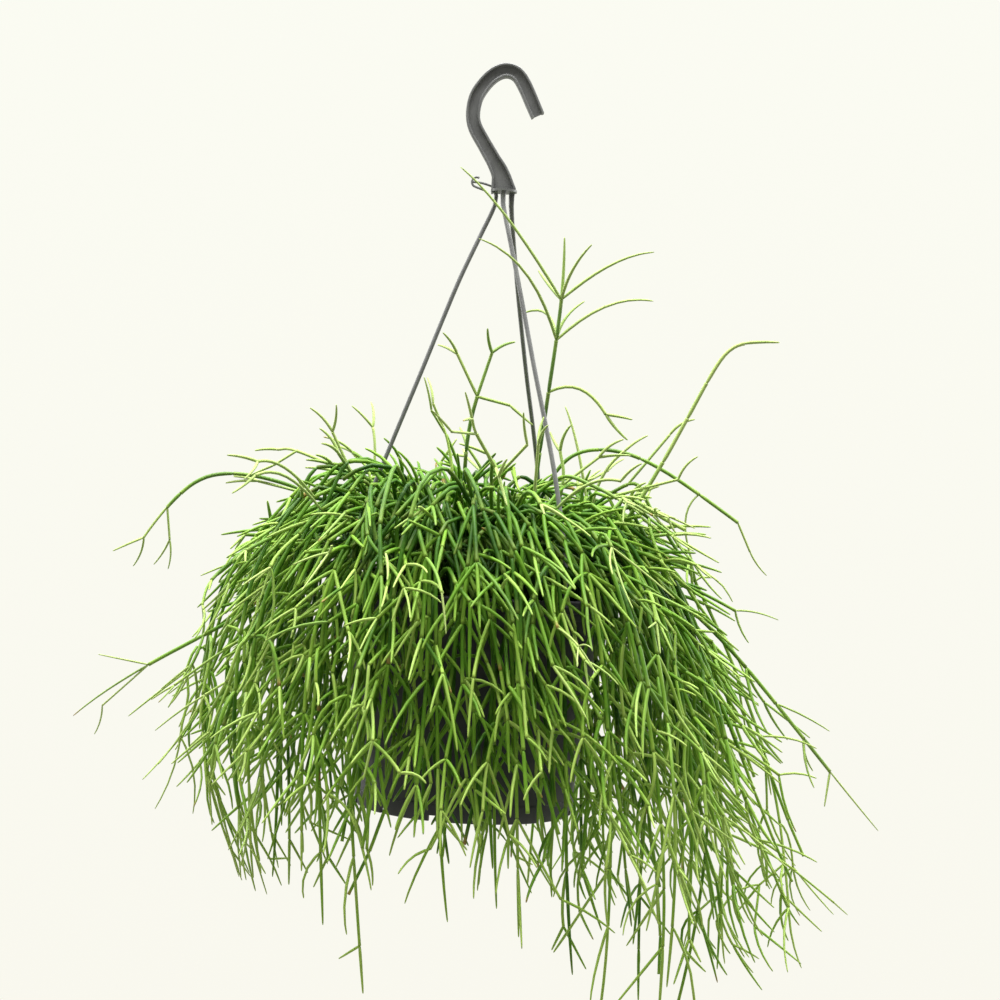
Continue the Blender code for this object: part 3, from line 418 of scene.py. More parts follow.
def hook_section(half):
    """H section with its outer corners eased."""
    deep, web, edge, ease = HOOK_DEPTH / 2, HOOK_WEB / 2, half - HOOK_FLANGE, 0.0003
    quarter = [(deep - ease, half), (deep, half - ease), (deep, edge + ease), (deep - ease, edge),
               (web + ease, edge), (web, edge - ease)]
    right = quarter + [(s, -u) for s, u in reversed(quarter)]
    return right + [(-s, -u) for s, u in right]


def hook_bar():
    places = hook_points()
    path = smooth_path([p for p, _ in places], 0.0018)
    halves = []
    for place in path:
        nearest = min(range(len(places) - 1), key=lambda k: off_span(place, places[k][0], places[k + 1][0]))
        (a, wide), (b, narrow) = places[nearest], places[nearest + 1]
        halves.append(partway(wide, narrow, share_along(place, a, b)))
    return swept(path, lambda i: hook_section(halves[i]), Vector((0.0, 1.0, 0.0)))


def arm_bar(index):
    path = smooth_path(smooth_path(arm_line(index), ARM_STEP), 0.0045)
    foot = path[-1].copy()
    foot.z = -RIM_DROP - EAR_DROP - EAR_THICKNESS - BARB_GAP
    path[-1] = foot
    barb = [foot + upward(z) for z in (-0.0001, -0.0006, -0.0021, -0.0034, 0.0001 - BARB_LENGTH)]
    halves = [(ARM_RADIUS, ARM_RADIUS)] * len(path)
    for i in range(4):
        halves[i] = (0.0017 + (ARM_RADIUS - 0.0017) * i / 4, 0.0011 + (ARM_RADIUS - 0.0011) * i / 4)
    halves += [(BARB_RADIUS - 0.0004,) * 2, (BARB_RADIUS,) * 2, (BARB_RADIUS,) * 2, (0.0021,) * 2, (0.0012,) * 2]
    angle = EAR_ANGLES[index]
    across = Vector((-math.sin(angle), math.cos(angle), 0.0))
    return as_object("helper", swept(path + barb, lambda i: round_section(*halves[i], 12), across))


def catch_wires():
    """The label catch: a stalk from the cap's left side that ends in a C open towards the cap."""
    middle = Vector((CAP_SHIFT - 0.0145, 0.0, -CAP_DROP + 0.0042))
    turns = [math.radians(a) for a in (62, 100, 140, 180, 220, 256)]
    loop = [middle + Vector((math.cos(a), 0.0, math.sin(a))) * CATCH_RADIUS for a in turns]
    loop.append(middle + Vector((0.0040, 0.0, -0.0040)))
    stalk = [middle + Vector((-0.0022, 0.0, 0.0)), middle + Vector((0.0030, 0.0, -0.0004)),
             Vector((CAP_SHIFT - 0.0050, 0.0, -CAP_DROP + 0.0020))]
    wire = round_section(CATCH_WIRE, CATCH_WIRE, 10)
    for line in (loop, stalk):
        yield as_object("helper", swept(smooth_path(line, 0.0008), lambda i: wire, Vector((0.0, 1.0, 0.0))))


def hanger_body():
    hanger = as_object("hook_hanger", hook_bar())
    cap = rod(CAP_RADIUS, CAP_THICKNESS, Vector((CAP_SHIFT, 0.0, -CAP_DROP + 0.0002)), 40)
    with_boolean(hanger, [cap] + [arm_bar(k) for k in range(3)] + list(catch_wires()), "UNION")
    hang_and_shade(hanger)
    return hanger


hanger = hanger_body()
hanger.data.materials.append(moulded_plastic("grey_hanger_plastic", HANGER_GREY, (0.156, 0.158, 0.155), 0.46,
                                             2200.0))
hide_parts("hanger")
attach(hanger, "root")

# The potting mix. Damp peat with crumbs and a few pale grains, filled to a finger's width below the rim and
# closed round the foot of every cutting.
SOIL_BELOW_RIM = 0.0130
SOIL_GAP = 0.0004
CUTTINGS = 20
ROOT_SPREAD = 0.0560
TURN_BETWEEN_ROOTS = math.radians(137.508)
SOIL_LUMPS = 0.0011
CRUMBS = 260


def root_spot(index):
    """Where a cutting stands, as (x, y) round the pot's axis: a sunflower spread over the soil."""
    radius = ROOT_SPREAD * math.sqrt((index + 0.6) / CUTTINGS)
    angle = index * TURN_BETWEEN_ROOTS + 0.9
    return radius * math.cos(angle), radius * math.sin(angle)


def hung(x, y, z):
    """World place of a point given in the tilted frame of pot and hanger."""
    return Vector((x * math.cos(TILT) + z * math.sin(TILT), y, -x * math.sin(TILT) + z * math.cos(TILT)))


def unhung(place):
    """The tilted frame's (x, y, z) of a world place."""
    return (place.x * math.cos(TILT) - place.z * math.sin(TILT), place.y,
            place.x * math.sin(TILT) + place.z * math.cos(TILT))


def soil_body():
    top = -RIM_DROP - SOIL_BELOW_RIM
    low = -RIM_DROP - POT_HEIGHT + FLOOR_LIFT + FLOOR_THICKNESS + SOIL_GAP
    high_radius = (wall_radius(SOIL_BELOW_RIM) - WALL) * math.cos(math.pi / 32) - SOIL_GAP
    low_radius = (wall_radius(POT_HEIGHT - FLOOR_LIFT) - WALL) * math.cos(math.pi / 32) - SOIL_GAP
    profile = [(0.0, low), (low_radius, low), (high_radius, top - 0.0012)]
    profile += [(high_radius * (1 - k / 22), top - 0.0008) for k in range(1, 22)] + [(0.0, top - 0.0008)]
    bm = turned(profile, 96)
    for vert in bm.verts:
        if vert.co.z > top - 0.001:
            lumps = noise.fractal(vert.co * 130, 0.8, 2.1, 4)
            vert.co.z += SOIL_LUMPS * 0.7 * max(-1.0, min(1.0, lumps))
    rng = random.Random(11)
    for _ in range(CRUMBS):
        spread = (high_radius - 0.0030) * math.sqrt(rng.random())
        place = round_the_axis(spread, rng.uniform(0, math.tau), top - 0.0009 + rng.uniform(-0.0004, 0.0004))
        size = rng.uniform(0.0006, 0.0016)
        turn = Matrix.Rotation(rng.uniform(0, math.tau), 4, Vector((rng.random(), rng.random(), 1)))
        shape = Matrix.Diagonal((size, size * rng.uniform(0.5, 0.9), size * rng.uniform(0.4, 0.7), 1))
        bmesh.ops.create_icosphere(bm, subdivisions=1, radius=1.0, matrix=Matrix.Translation(place) @ turn @ shape)
    soil = as_object("peat_mix", bm)
    hang_and_shade(soil, math.radians(60))
    return soil


def peat():
    material, shader, add, join = node_material("damp_peat")
    place = add("TexCoord").outputs["Object"]
    fibres = clouds(add, place, 420.0, 6.0, 0.75)
    grains = add("TexVoronoi", {"Vector": place, "Scale": 520.0, "Randomness": 1.0}).outputs["Color"]
    damp = colour_steps(add, fibres, [(0.32, (0.010, 0.006, 0.004)), (0.55, (0.038, 0.023, 0.014)),
                                      (0.72, (0.085, 0.055, 0.034))])
    grained = blended(add, rescaled(add, grains, (0.93, 0.96)), damp, (0.42, 0.38, 0.31))
    join(grained, shader.inputs["Base Color"])
    shader.inputs["Roughness"].default_value = 0.92
    dimpled(add, join, shader, fibres, 0.7, 0.0008)
    return material


soil = soil_body()
soil.data.materials.append(peat())
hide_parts("soil")
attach(soil, "root")

# The cuttings. Each is a leafless rhipsalis rooted in the mix: round jointed stems about as thick as a match,
# that fork or whorl at their nodes, rise over the rim, arch and hang, and end in short pale young joints.
ROOT_DEPTH = 0.0150
ROOT_RISE = 0.0040
ROOT_RADIUS = 0.0022
STEM_RADIUS = 0.00138
STEM_GAP = 0.0005
NODE_HALF = 0.0012
FREE_FORK = 0.0070
LONG_TWIG = 0.0330
# The limits on how a stem leaves its node and bends: the cosine with its parent where it goes straight on, its
# sideways lean and the cosine with its face where it goes out at a side, and the cosines with another fork and
# with itself round a bend.
ON_COSINE = 0.66
SIDE_SINE = 0.42
FACE_COSINE = 0.64
FORK_COSINE = 0.85
BEND_COSINE = 0.74
CELL = 0.0140
SEED = 4684
GRAVITY = Vector((0.0, 0.0, -1.0))
THIRD = math.tau / 3


class Thicket:
    """All that has grown or stands in the way, as straight spans filed by the cells that they pass."""

    def __init__(self):
        self.cells = {}
        self.spans = []

    def cells_of(self, a, b, pad):
        low = [math.floor((min(a[k], b[k]) - pad) / CELL) for k in range(3)]
        high = [math.floor((max(a[k], b[k]) + pad) / CELL) for k in range(3)]
        for i in range(low[0], high[0] + 1):
            for j in range(low[1], high[1] + 1):
                for k in range(low[2], high[2] + 1):
                    yield i, j, k

    def add(self, a, b, radius, nodes=()):
        self.spans.append((a, b, radius, nodes))
        for cell in self.cells_of(a, b, radius):
            self.cells.setdefault(cell, []).append(len(self.spans) - 1)

    def forget_after(self, count):
        """Takes back every span filed after the first so many."""
        while len(self.spans) > count:
            a, b, radius, _ = self.spans.pop()
            for cell in self.cells_of(a, b, radius):
                self.cells[cell].pop()

    def clear(self, a, b, radius, node=None):
        """Whether a span passes clear. Near the node it grows from, it may touch what else meets there."""
        seen = set()
        for cell in self.cells_of(a, b, radius + STEM_GAP):
            seen.update(self.cells.get(cell, ()))
        length = (b - a).length
        start = a + (b - a) * min(1.0, FREE_FORK / length)
        for index in sorted(seen):
            c, d, other, nodes = self.spans[index]
            if node is not None and node in nodes:
                if length > FREE_FORK and between_spans(start, b, c, d) < radius + other + STEM_GAP:
                    return False
            elif between_spans(a, b, c, d) < radius + other + STEM_GAP:
                return False
        return True


def between_spans(a, b, c, d):
    """Least distance between two straight spans."""
    u, v, w = b - a, d - c, a - c
    uu, uv, vv, uw, vw = u.dot(u), u.dot(v), v.dot(v), u.dot(w), v.dot(w)
    bottom = uu * vv - uv * uv
    s = clamped((uv * vw - vv * uw) / bottom) if bottom > 1e-14 else 0.0
    t = (uv * s + vw) / vv if vv > 1e-14 else 0.0
    if t < 0.0 or t > 1.0:
        t = clamped(t)
        s = clamped((uv * t - uw) / uu) if uu > 1e-14 else 0.0
    return (w + u * s - v * t).length


def clear_of_pot(a, b):
    """Whether a span stays off the pot's wall and rim, off the soil, and out of the space below the pot."""
    steps = max(2, math.ceil((b - a).length / 0.0025))
    for k in range(steps + 1):
        x, y, z = unhung(a.lerp(b, k / steps))
        drop = -RIM_DROP - z
        if drop < -STEM_RADIUS - 0.0012:
            continue
        out = math.hypot(x, y)
        if drop > POT_HEIGHT + 0.004:
            continue
        outer = RIM_RADIUS if drop < RIM_BAND + 0.002 else wall_radius(drop) + FOOT_STEP
        inside = WALL_TOP_RADIUS - WALL - STEM_RADIUS - 0.0012
        if drop < SOIL_BELOW_RIM - STEM_RADIUS and out < inside:
            continue
        if out > outer + STEM_RADIUS + 0.0010:
            continue
        return False
    return True


def file_hanger(thicket):
    """Files the arms, cap, hook and ears, so that stems bend round them."""
    for index in range(3):
        line = [hung(*p) for p in smooth_path(arm_line(index), ARM_STEP)]
        for a, b in zip(line, line[1:]):
            thicket.add(a, b, ARM_RADIUS + 0.0006)
        x, y, _ = round_the_axis(EAR_RADIUS, EAR_ANGLES[index], 0.0)
        thicket.add(hung(x, y, -RIM_DROP - 0.0010), hung(x, y, -RIM_DROP - 0.0110), 0.0068)
    line = [hung(*p) for p, _ in hook_points()]
    for a, b in zip(line, line[1:]):
        thicket.add(a, b, 0.0055)
    low = hung(CAP_SHIFT, 0.0, -CAP_DROP)
    thicket.add(low, hung(CAP_SHIFT - 0.0190, 0.0, -CAP_DROP + 0.0042), 0.0040)
    thicket.add(low, hung(CAP_SHIFT, 0.0, -CAP_DROP - 0.0120), CAP_RADIUS)


def corners_round(centre, direction, grown_from, radius, twist=0.0):
    """Three corners of a stem round a place, turned to follow the three corners that they grow from."""
    first = direction.orthogonal().normalized()
    second = direction.cross(first)
    middle = (grown_from[0] + grown_from[1] + grown_from[2]) / 3
    cosine = sine = 0.0
    for i, corner in enumerate(grown_from):
        arm = corner - middle
        angle = math.atan2(arm.dot(second), arm.dot(first)) - THIRD * i
        cosine += math.cos(angle)
        sine += math.sin(angle)
    turn = math.atan2(sine, cosine) + twist
    return [centre + first * (radius * math.cos(turn + THIRD * i))
            + second * (radius * math.sin(turn + THIRD * i)) for i in range(3)]


class Stem:
    """One stretch of stem from a node: its middle line, the corners along it, and what forks from its end."""

    def __init__(self, line, radius, start_corners):
        self.line = line
        self.radius = radius
        self.rings = []
        self.forks = {}
        corners = start_corners
        last = len(line) - 1
        for i in range(1, last):
            way = ((line[i] - line[i - 1]).normalized() + (line[i + 1] - line[i]).normalized()).normalized()
            corners = corners_round(line[i], way, corners, radius)
            self.rings.append(corners)
        self.way = (line[last] - line[last - 1]).normalized()
        self.low = corners_round(line[last] - self.way * NODE_HALF, self.way, corners, radius)
        self.high = corners_round(line[last] + self.way * NODE_HALF, self.way, self.low, radius, THIRD / 2)

    def slot_corners(self, slot):
        """The face that a fork grows from: slot 0 goes straight on, 1 to 3 go out at the sides."""
        if slot == 0:
            return self.high
        after = slot % 3
        return [self.low[after], self.high[after], self.high[slot - 1]]

    def slot_way(self, slot):
        """The way out of a side face, square to the stem."""
        corner = self.low[slot % 3] - self.line[-1]
        return (corner - self.way * corner.dot(self.way)).normalized()


def try_span(thicket, points, radius, node):
    """Whether every span of a stretch passes clear of the pot and of all that has grown."""
    for i, (a, b) in enumerate(zip(points, points[1:])):
        if not clear_of_pot(a, b):
            return False
        if not thicket.clear(a, b, radius, node if i == 0 else None):
            return False
    return True


def first_shell(parent, slot, stem):
    """The triangles of a stem's first span."""
    low = parent.slot_corners(slot)
    high = stem.rings[0] if stem.rings else stem.low
    shell = []
    for i in range(3):
        after = (i + 1) % 3
        shell += [(low[i], low[after], high[after]), (low[i], high[after], high[i])]
    return shell


def shells_cross(one, other):
    """Whether two first spans cross anywhere but at a corner that they share."""
    places = [[corner for face in shell for corner in face] for shell in (one, other)]
    faces = [[(3 * k, 3 * k + 1, 3 * k + 2) for k in range(len(shell))] for shell in (one, other)]
    trees = [BVHTree.FromPolygons(p, f) for p, f in zip(places, faces)]
    for i, j in trees[0].overlap(trees[1]):
        if all((a - b).length > 1e-6 for a in one[i] for b in other[j]):
            return True
    return False


def try_stem(thicket, parent, slot, points):
    """Grows a stretch of stem from a node if it passes clear of everything, or returns None."""
    if not goes_well(parent, slot, points) or not try_span(thicket, points, STEM_RADIUS, id(parent)):
        return None
    stem = Stem(points, STEM_RADIUS, parent.slot_corners(slot))
    shell = first_shell(parent, slot, stem)
    if any(shells_cross(shell, first_shell(parent, k, fork)) for k, fork in parent.forks.items()):
        return None
    parent.forks[slot] = stem
    last = len(points) - 2
    for i, (a, b) in enumerate(zip(points, points[1:])):
        nodes = (id(parent),) * (i == 0) + (id(stem),) * (i == last)
        thicket.add(a, b, STEM_RADIUS, nodes)
    return stem


def strayed(rng, spread):
    """A random move, smaller up and down than sideways."""
    return Vector((rng.gauss(0, spread), rng.gauss(0, spread), rng.gauss(0, spread * 0.6)))


def grow_along(thicket, rng, parent, slot, route, joints, wander):
    """A long stem that follows a route from node to node, bent clear of all that has grown. Returns its
    stretches in order."""
    stems = []
    shift = Vector()
    for low, high in zip(joints, joints[1:]):
        turning = heading(route, low).angle(heading(route, high), 0.0)
        count = 1 + (turning > 0.22) + (turning > 0.6) + (turning > 1.2)
        for attempt in range(30):
            later = shift * 0.8 + strayed(rng, wander * (0.3 + 0.12 * attempt))
            points = [parent.line[-1]]
            if parent.radius > STEM_RADIUS:
                points.append(points[0] + (along(route, low + 0.012) + later * 0.3 - points[0]).normalized()
                              * FREE_FORK)
            for k in range(1, count + 1):
                share = k / count
                points.append(along(route, partway(low, high, share)) + shift.lerp(later, share))
            stem = try_stem(thicket, parent, slot, points)
            if stem:
                break
        else:
            return stems
        shift = later
        parent = stem
        stems.append(stem)
        slot = 0
    return stems


def heading(route, distance):
    return along(route, distance + 0.004) - along(route, distance - 0.004)


def goes_well(parent, slot, points):
    """Whether a stretch leaves its node the way its face looks, and bends no more than a stem does."""
    ways = [(b - a).normalized() for a, b in zip(points, points[1:])]
    if ways[0].dot(parent.way) < (ON_COSINE if slot == 0 else 0.0):
        return False
    across = ways[0] - parent.way * ways[0].dot(parent.way)
    if slot and (across.length < SIDE_SINE or across.normalized().dot(parent.slot_way(slot)) < FACE_COSINE):
        return False
    for fork in parent.forks.values():
        if ways[0].dot((fork.line[1] - fork.line[0]).normalized()) > FORK_COSINE:
            return False
    return all(a.dot(b) > BEND_COSINE for a, b in zip(ways, ways[1:]))


def grow_well(thicket, rng, parent, slot, plan, wander):
    """Grows a long stem by a plan that draws a new route each time, until nearly all of one finds its way."""
    for attempt in range(40):
        mark = len(thicket.spans)
        route, joints = plan(rng)
        stems = grow_along(thicket, rng, parent, slot, route, joints, wander)
        wanted = 1.0 if attempt < 16 else 0.8 if attempt < 28 else 0.5
        if len(stems) >= wanted * (len(joints) - 1):
            return stems
        thicket.forget_after(mark)
        parent.forks.pop(slot, None)
    return []


def along(route, distance):
    """The place at a distance along a list of close points."""
    for a, b in zip(route, route[1:]):
        length = (b - a).length
        if distance <= length:
            return a.lerp(b, distance / length if length else 0.0)
        distance -= length
    return route[-1] + (route[-1] - route[-2]).normalized() * distance


def route_length(route):
    return sum((b - a).length for a, b in zip(route, route[1:]))


def grow_twig(thicket, rng, parent, slot, length, sag, spans, outward):
    """One short stretch from a node, leaning out by its slot and drooping by its sag."""
    for _ in range(16):
        lean = rng.uniform(0.0, 0.42) if slot == 0 else rng.uniform(0.50, 1.05)
        if slot == 0:
            side = parent.way.orthogonal().normalized()
            turn = rng.uniform(0.0, math.tau)
        else:
            side = parent.slot_way(slot)
            turn = rng.uniform(-0.45, 0.45)
        side = Matrix.Rotation(turn, 3, parent.way) @ side
        first = parent.way * math.cos(lean) + side * math.sin(lean)
        reach = length * rng.uniform(0.75, 1.2)
        start = parent.line[-1]
        pull = GRAVITY * sag + outward * 0.3
        second = (first + pull * rng.uniform(0.6, 1.3)).normalized()
        if spans == 1:
            points = [start, start + (first * 2 + second).normalized() * reach]
        else:
            middle = start + (first + pull * 0.2).normalized() * reach * 0.5
            points = [start, middle, middle + second * reach * 0.5]
        stem = try_stem(thicket, parent, slot, points)
        if stem:
            return stem
    return None


# The solids' reach, lowest tips and shoulders at eight angles, round from the right by way of the back.
REACH = [0.186, 0.166, 0.140, 0.146, 0.160, 0.144, 0.124, 0.160]
BOTTOM = [-0.470, -0.445, -0.412, -0.402, -0.404, -0.402, -0.404, -0.466]
SHOULDER = [0.76, 0.82, 0.93, 0.93, 0.93, 0.93, 0.93, 0.80]
CENTRE = Vector((-0.0185, 0.0, 0.0))
BEHIND = 0.15
LAYERS = (0.95, 0.30, 0.66, 0.10, 0.82, 0.48)
NEAR_MIDDLE = 0.022
TWIG_LENGTHS = (0.024, 0.042)
SMALL_TWIGS = (0.015, 0.026)
HANGING_FROM = -0.215
ROUTE_STEP = 0.006


def by_angle(values, angle):
    """Between the eight values, at an angle."""
    share = (angle / math.tau * len(values)) % len(values)
    low = int(share)
    part = share - low
    part = part * part * (3 - 2 * part)
    return partway(values[low], values[(low + 1) % len(values)], part)


def curtain_route(rng, root, angle, layer, length):
    """A stem that rises from the soil, passes over the rim and hangs. layer is 0 at the pot's wall and 1 at
    the plant's outside; length is how far down it goes, 1 being the longest."""
    reach = by_angle(REACH, angle)
    bottom = by_angle(BOTTOM, angle)
    out = Vector((math.cos(angle), math.sin(angle), 0.0))
    top = -0.252 + 0.046 * layer + rng.uniform(-0.006, 0.006)
    tip_reach = partway(0.086, reach, layer)
    tip_z = partway(-0.325, bottom, length)
    shoulder = partway(0.085, 0.60 * reach + 0.010, layer)
    drop = 0.010 + 0.016 * layer
    bend = partway(0.087, by_angle(SHOULDER, angle) * reach, layer)
    level = top - 0.030 - 0.026 * layer

    def at(distance, z):
        return CENTRE + out * distance + upward(z)

    over = 0.058 + 0.008 * layer
    start = root + (at(over, top) - root) * 0.30 + upward(0.006)
    points = [root, start, at(over, top), at(shoulder, top - drop), at(bend, level),
              at(tip_reach, (level * 0.45 + tip_z * 0.55)), at(tip_reach * 0.97, tip_z)]
    return smooth_path(points, ROUTE_STEP)


def dome_route(root, angle, reach, top):
    """A short stem that arches over the pot without leaving the dome."""
    out = Vector((math.cos(angle), math.sin(angle), 0.0))
    end = Vector((root.x, root.y, 0.0)) + out * reach + upward(top - 0.012)
    middle = root.lerp(end, 0.55)
    middle.z = top
    rise = root.lerp(end, 0.2)
    rise.z = root.z + (top - root.z) * 0.6
    return smooth_path([root, rise, middle, end], ROUTE_STEP)


def curtain_plan(root, angle, layer):
    def plan(rng):
        turned_angle = angle + rng.uniform(-0.4, 0.4)
        route = curtain_route(rng, root.line[-1], turned_angle, layer + rng.uniform(-0.08, 0.05),
                              rng.uniform(0.45, 1.0))
        return route, even_joints(rng, route_length(route), 0.052, 0.030)
    return plan


def dome_plan(root, angle):
    def plan(rng):
        route = dome_route(root.line[-1], angle + rng.uniform(-0.4, 0.4), rng.uniform(0.030, 0.075),
                           rng.uniform(-0.226, -0.206))
        return route, even_joints(rng, route_length(route), 0.040, 0.026)
    return plan


def plant_root(index):
    """The woody piece of a cutting that stands in the soil, as a stretch whose end is the first node."""
    x, y = root_spot(index)
    top = -RIM_DROP - SOIL_BELOW_RIM
    low = hung(x, y, top - ROOT_DEPTH)
    high = hung(x, y, top + ROOT_RISE)
    out = math.atan2(y, x)
    start = []
    for i in range(3):
        angle = out - THIRD / 2 + THIRD * i
        start.append(hung(x + ROOT_RADIUS * math.cos(angle), y + ROOT_RADIUS * math.sin(angle),
                          top - ROOT_DEPTH))
    root = Stem([low, low.lerp(high, 0.5), high], ROOT_RADIUS, start)
    return root, out


# The stems that stand out from the plant. Each has its cutting, its route from the root on, whose points are its
# joints, and the twigs at its joints as (joint, slot, route). Places are in tenths of a millimetre.
SHOWN_STEMS = {
    "tall": (5, [(90, -50, -2450), (181, -60, -1906), (226, -70, -1617), (281, -80, -1275), (308, -80, -1154)],
        [(2, 1, [(90, -110, -1830), (-50, -150, -1985)]), (2, 2, [(380, -60, -1640), (518, -70, -1775)]),
         (4, 0, [(306, -90, -1000), (302, -100, -854)]), (4, 1, [(71, -200, -749), (-166, -230, -497)]),
         (4, 2, [(543, -120, -1000), (765, -150, -938)]), (3, 1, [(100, -240, -1060), (-139, -350, -896)]),
         (3, 2, [(500, -20, -1222), (755, 60, -1186)]), (3, 3, [(190, 40, -1260), (70, 130, -1249)])]),
    "whip": (10, [(450, -250, -2530), (623, -300, -2380), (807, -310, -2011), (965, -320, -1748),
        (1070, -330, -1511), (1176, -340, -1406), (1386, -350, -1422)],
        []),
    "left_arch": (19, [(-700, 250, -2350), (-1139, 200, -2117), (-1533, 160, -2048), (-1717, 140, -2153),
        (-1833, 130, -2274)],
        [(4, 0, [(-1879, 120, -2330), (-1928, 110, -2420)]), (4, 1, [(-1796, 140, -2432)])]),
    "left_low": (9, [(-560, -205, -2610), (-810, -250, -2530), (-1120, -290, -2680), (-1533, -290, -2958),
        (-2007, -280, -3105)],
        [(4, 0, [(-2130, -280, -3190), (-2217, -280, -3326)]), (4, 1, [(-2070, -270, -3274)]),
         (4, 2, [(-2086, -290, -3010)])]),
    "right_arch": (0, [(160, 140, -2300), (255, 150, -2010), (466, 160, -1943), (702, 170, -1959),
        (939, 180, -2117), (1239, 190, -2343)],
        [(4, 1, [(960, 180, -2320), (991, 180, -2538)]), (5, 0, [(1340, 190, -2290), (1449, 190, -2253)]),
         (5, 1, [(1307, 200, -2500)])]),
    "right_low": (15, [(250, -330, -2630), (560, -290, -2530), (900, -270, -2700), (1228, -260, -3063),
        (1386, -270, -3300), (1544, -270, -3440), (1660, -270, -3642)],
        [(6, 0, [(1780, -270, -3770), (1902, -270, -3916)]), (6, 1, [(1560, -270, -3842)])]),
    "left_spray": (3, [(-220, 60, -2350), (-240, 60, -1906), (-150, 60, -1670)],
        [(2, 0, [(-110, 60, -1550), (-76, 60, -1443)]), (2, 1, [(-166, 70, -1527)]), (2, 2, [(18, 40, -1722)])]),
}


def set_places(rows):
    return [Vector([tenth / 10000 for tenth in row]) for row in rows]


def best_slot(parent, way):
    """The free face of a node that looks most nearly the way a twig goes."""
    free = [slot for slot in (1, 2, 3) if slot not in parent.forks]
    return max(free, key=lambda slot: parent.slot_way(slot).dot(way)) if free else None


def grow_shown(thicket, rng, root, points, twigs):
    """A stem with a set route: its nodes are the route's points."""
    route = smooth_path([root.line[-1]] + points, ROUTE_STEP)
    joints = [0.0]
    for point in points:
        nearest = min(range(len(route)), key=lambda k: (route[k] - point).length)
        joints.append(route_length(route[:nearest + 1]))
    stems = grow_along(thicket, rng, root, 0, route, joints, 0.0003)
    for joint, slot, ends in twigs:
        if joint >= len(stems):
            continue
        parent = stems[joint]
        start = parent.line[-1]
        line = [start] + set_places(ends)
        if slot:
            slot = best_slot(parent, (line[1] - start).normalized())
        if slot is None or slot in parent.forks:
            continue
        for attempt in range(12):
            nudge = Vector([rng.uniform(-1, 1) for _ in range(3)]) * 0.0012 * attempt
            if try_stem(thicket, parent, slot, [start] + [p + nudge for p in line[1:]]):
                break


def even_joints(rng, length, first, last):
    """Distances of the nodes along a stem: stretches get shorter towards its tip."""
    joints = [0.0]
    while joints[-1] < length - 0.6 * last:
        share = joints[-1] / length
        joints.append(joints[-1] + partway(first, last, share) * rng.uniform(0.85, 1.15))
    joints[-1] = min(joints[-1], length)
    return joints


def grow_plant():
    """Grows the cuttings as the solids have them. Returns all that is filed, and each cutting's root stretch, whose
    forks hold the rest, with the way that it looks."""
    thicket = Thicket()
    file_hanger(thicket)
    roots = []
    for index in range(CUTTINGS):
        root, out = plant_root(index)
        thicket.add(root.line[0], root.line[-1], ROOT_RADIUS, (id(root),))
        roots.append((root, out))
    nodes = []
    for index, points, twigs in SHOWN_STEMS.values():
        rng = random.Random(SEED + 1000 + index)
        grow_shown(thicket, rng, roots[index][0], set_places(points), twigs)
    count = 0
    for slot, turn in ((0, 0.0), (1, math.radians(60)), (3, math.radians(-60)), (2, math.radians(190))):
        for index, (root, out) in enumerate(roots):
            # Only the cuttings behind the middle send a third side stem, over the top to the front.
            if slot in root.forks or (slot == 2 and math.sin(out) < BEHIND):
                continue
            rng = random.Random(SEED + 100 * slot + index)
            count += 1
            near_middle = math.hypot(*root_spot(index)) < NEAR_MIDDLE
            if slot % 2 and (near_middle or count % 4 == 0):
                plan = dome_plan(root, out + turn)
            else:
                plan = curtain_plan(root, out + turn * 0.8, LAYERS[count % len(LAYERS)])
            nodes += grow_well(thicket, rng, root, slot, plan, 0.0040)
    grow_twigs(thicket, nodes)
    return thicket, roots


def below(place, height, drop):
    """How far a place has sunk past a height, as a share of a drop."""
    return clamped((height - place.z) / drop)


def twig_sag(place):
    """How strongly a twig droops: little on top of the dome, much in the curtain."""
    return 0.25 + 0.9 * below(place, HANGING_FROM, 0.08)


def away_from_middle(place):
    flat = Vector((place.x - CENTRE.x, place.y - CENTRE.y, 0.0))
    return flat.normalized() if flat.length > 1e-4 else Vector((1.0, 0.0, 0.0))


def grow_twigs(thicket, nodes):
    """Short twigs on the long stems' nodes, and a few on the twigs."""
    rng = random.Random(SEED + 7)
    young = []
    for parent in nodes:
        place = parent.line[-1]
        ended = 0 not in parent.forks
        wanted = rng.choice((1, 1, 1, 2)) if not ended else 2
        slots = [0] if ended else []
        sides = [1, 2, 3]
        rng.shuffle(sides)
        for slot in (slots + sides)[:wanted]:
            if slot in parent.forks:
                continue
            length = rng.uniform(*TWIG_LENGTHS)
            twig = grow_twig(thicket, rng, parent, slot, length, twig_sag(place),
                             2 if length > LONG_TWIG else 1, away_from_middle(place) * 0.5)
            if twig:
                young.append(twig)
    for parent in young:
        if rng.random() > 0.30:
            continue
        place = parent.line[-1]
        for slot in rng.choice(((0, 1), (1, 2), (0, 2), (0, 3))):
            grow_twig(thicket, rng, parent, slot, rng.uniform(*SMALL_TWIGS), twig_sag(place) * 0.7, 1,
                      away_from_middle(place) * 0.3)


# The crown's outline, as (height, reach from the crown's middle) pairs: it stands out further on the right below.
CROWN_LEFT = [(-0.180, 0.001), (-0.191, 0.030), (-0.203, 0.060), (-0.215, 0.080), (-0.241, 0.108),
              (-0.268, 0.123), (-0.301, 0.129), (-0.327, 0.139), (-0.354, 0.142), (-0.385, 0.121), (-0.430, 0.097)]
CROWN_RIGHT = [(-0.198, 0.001), (-0.206, 0.030), (-0.212, 0.045), (-0.222, 0.068), (-0.238, 0.094),
               (-0.256, 0.107), (-0.275, 0.115), (-0.327, 0.135), (-0.370, 0.158), (-0.406, 0.174), (-0.430, 0.178),
               (-0.470, 0.168), (-0.515, 0.150)]
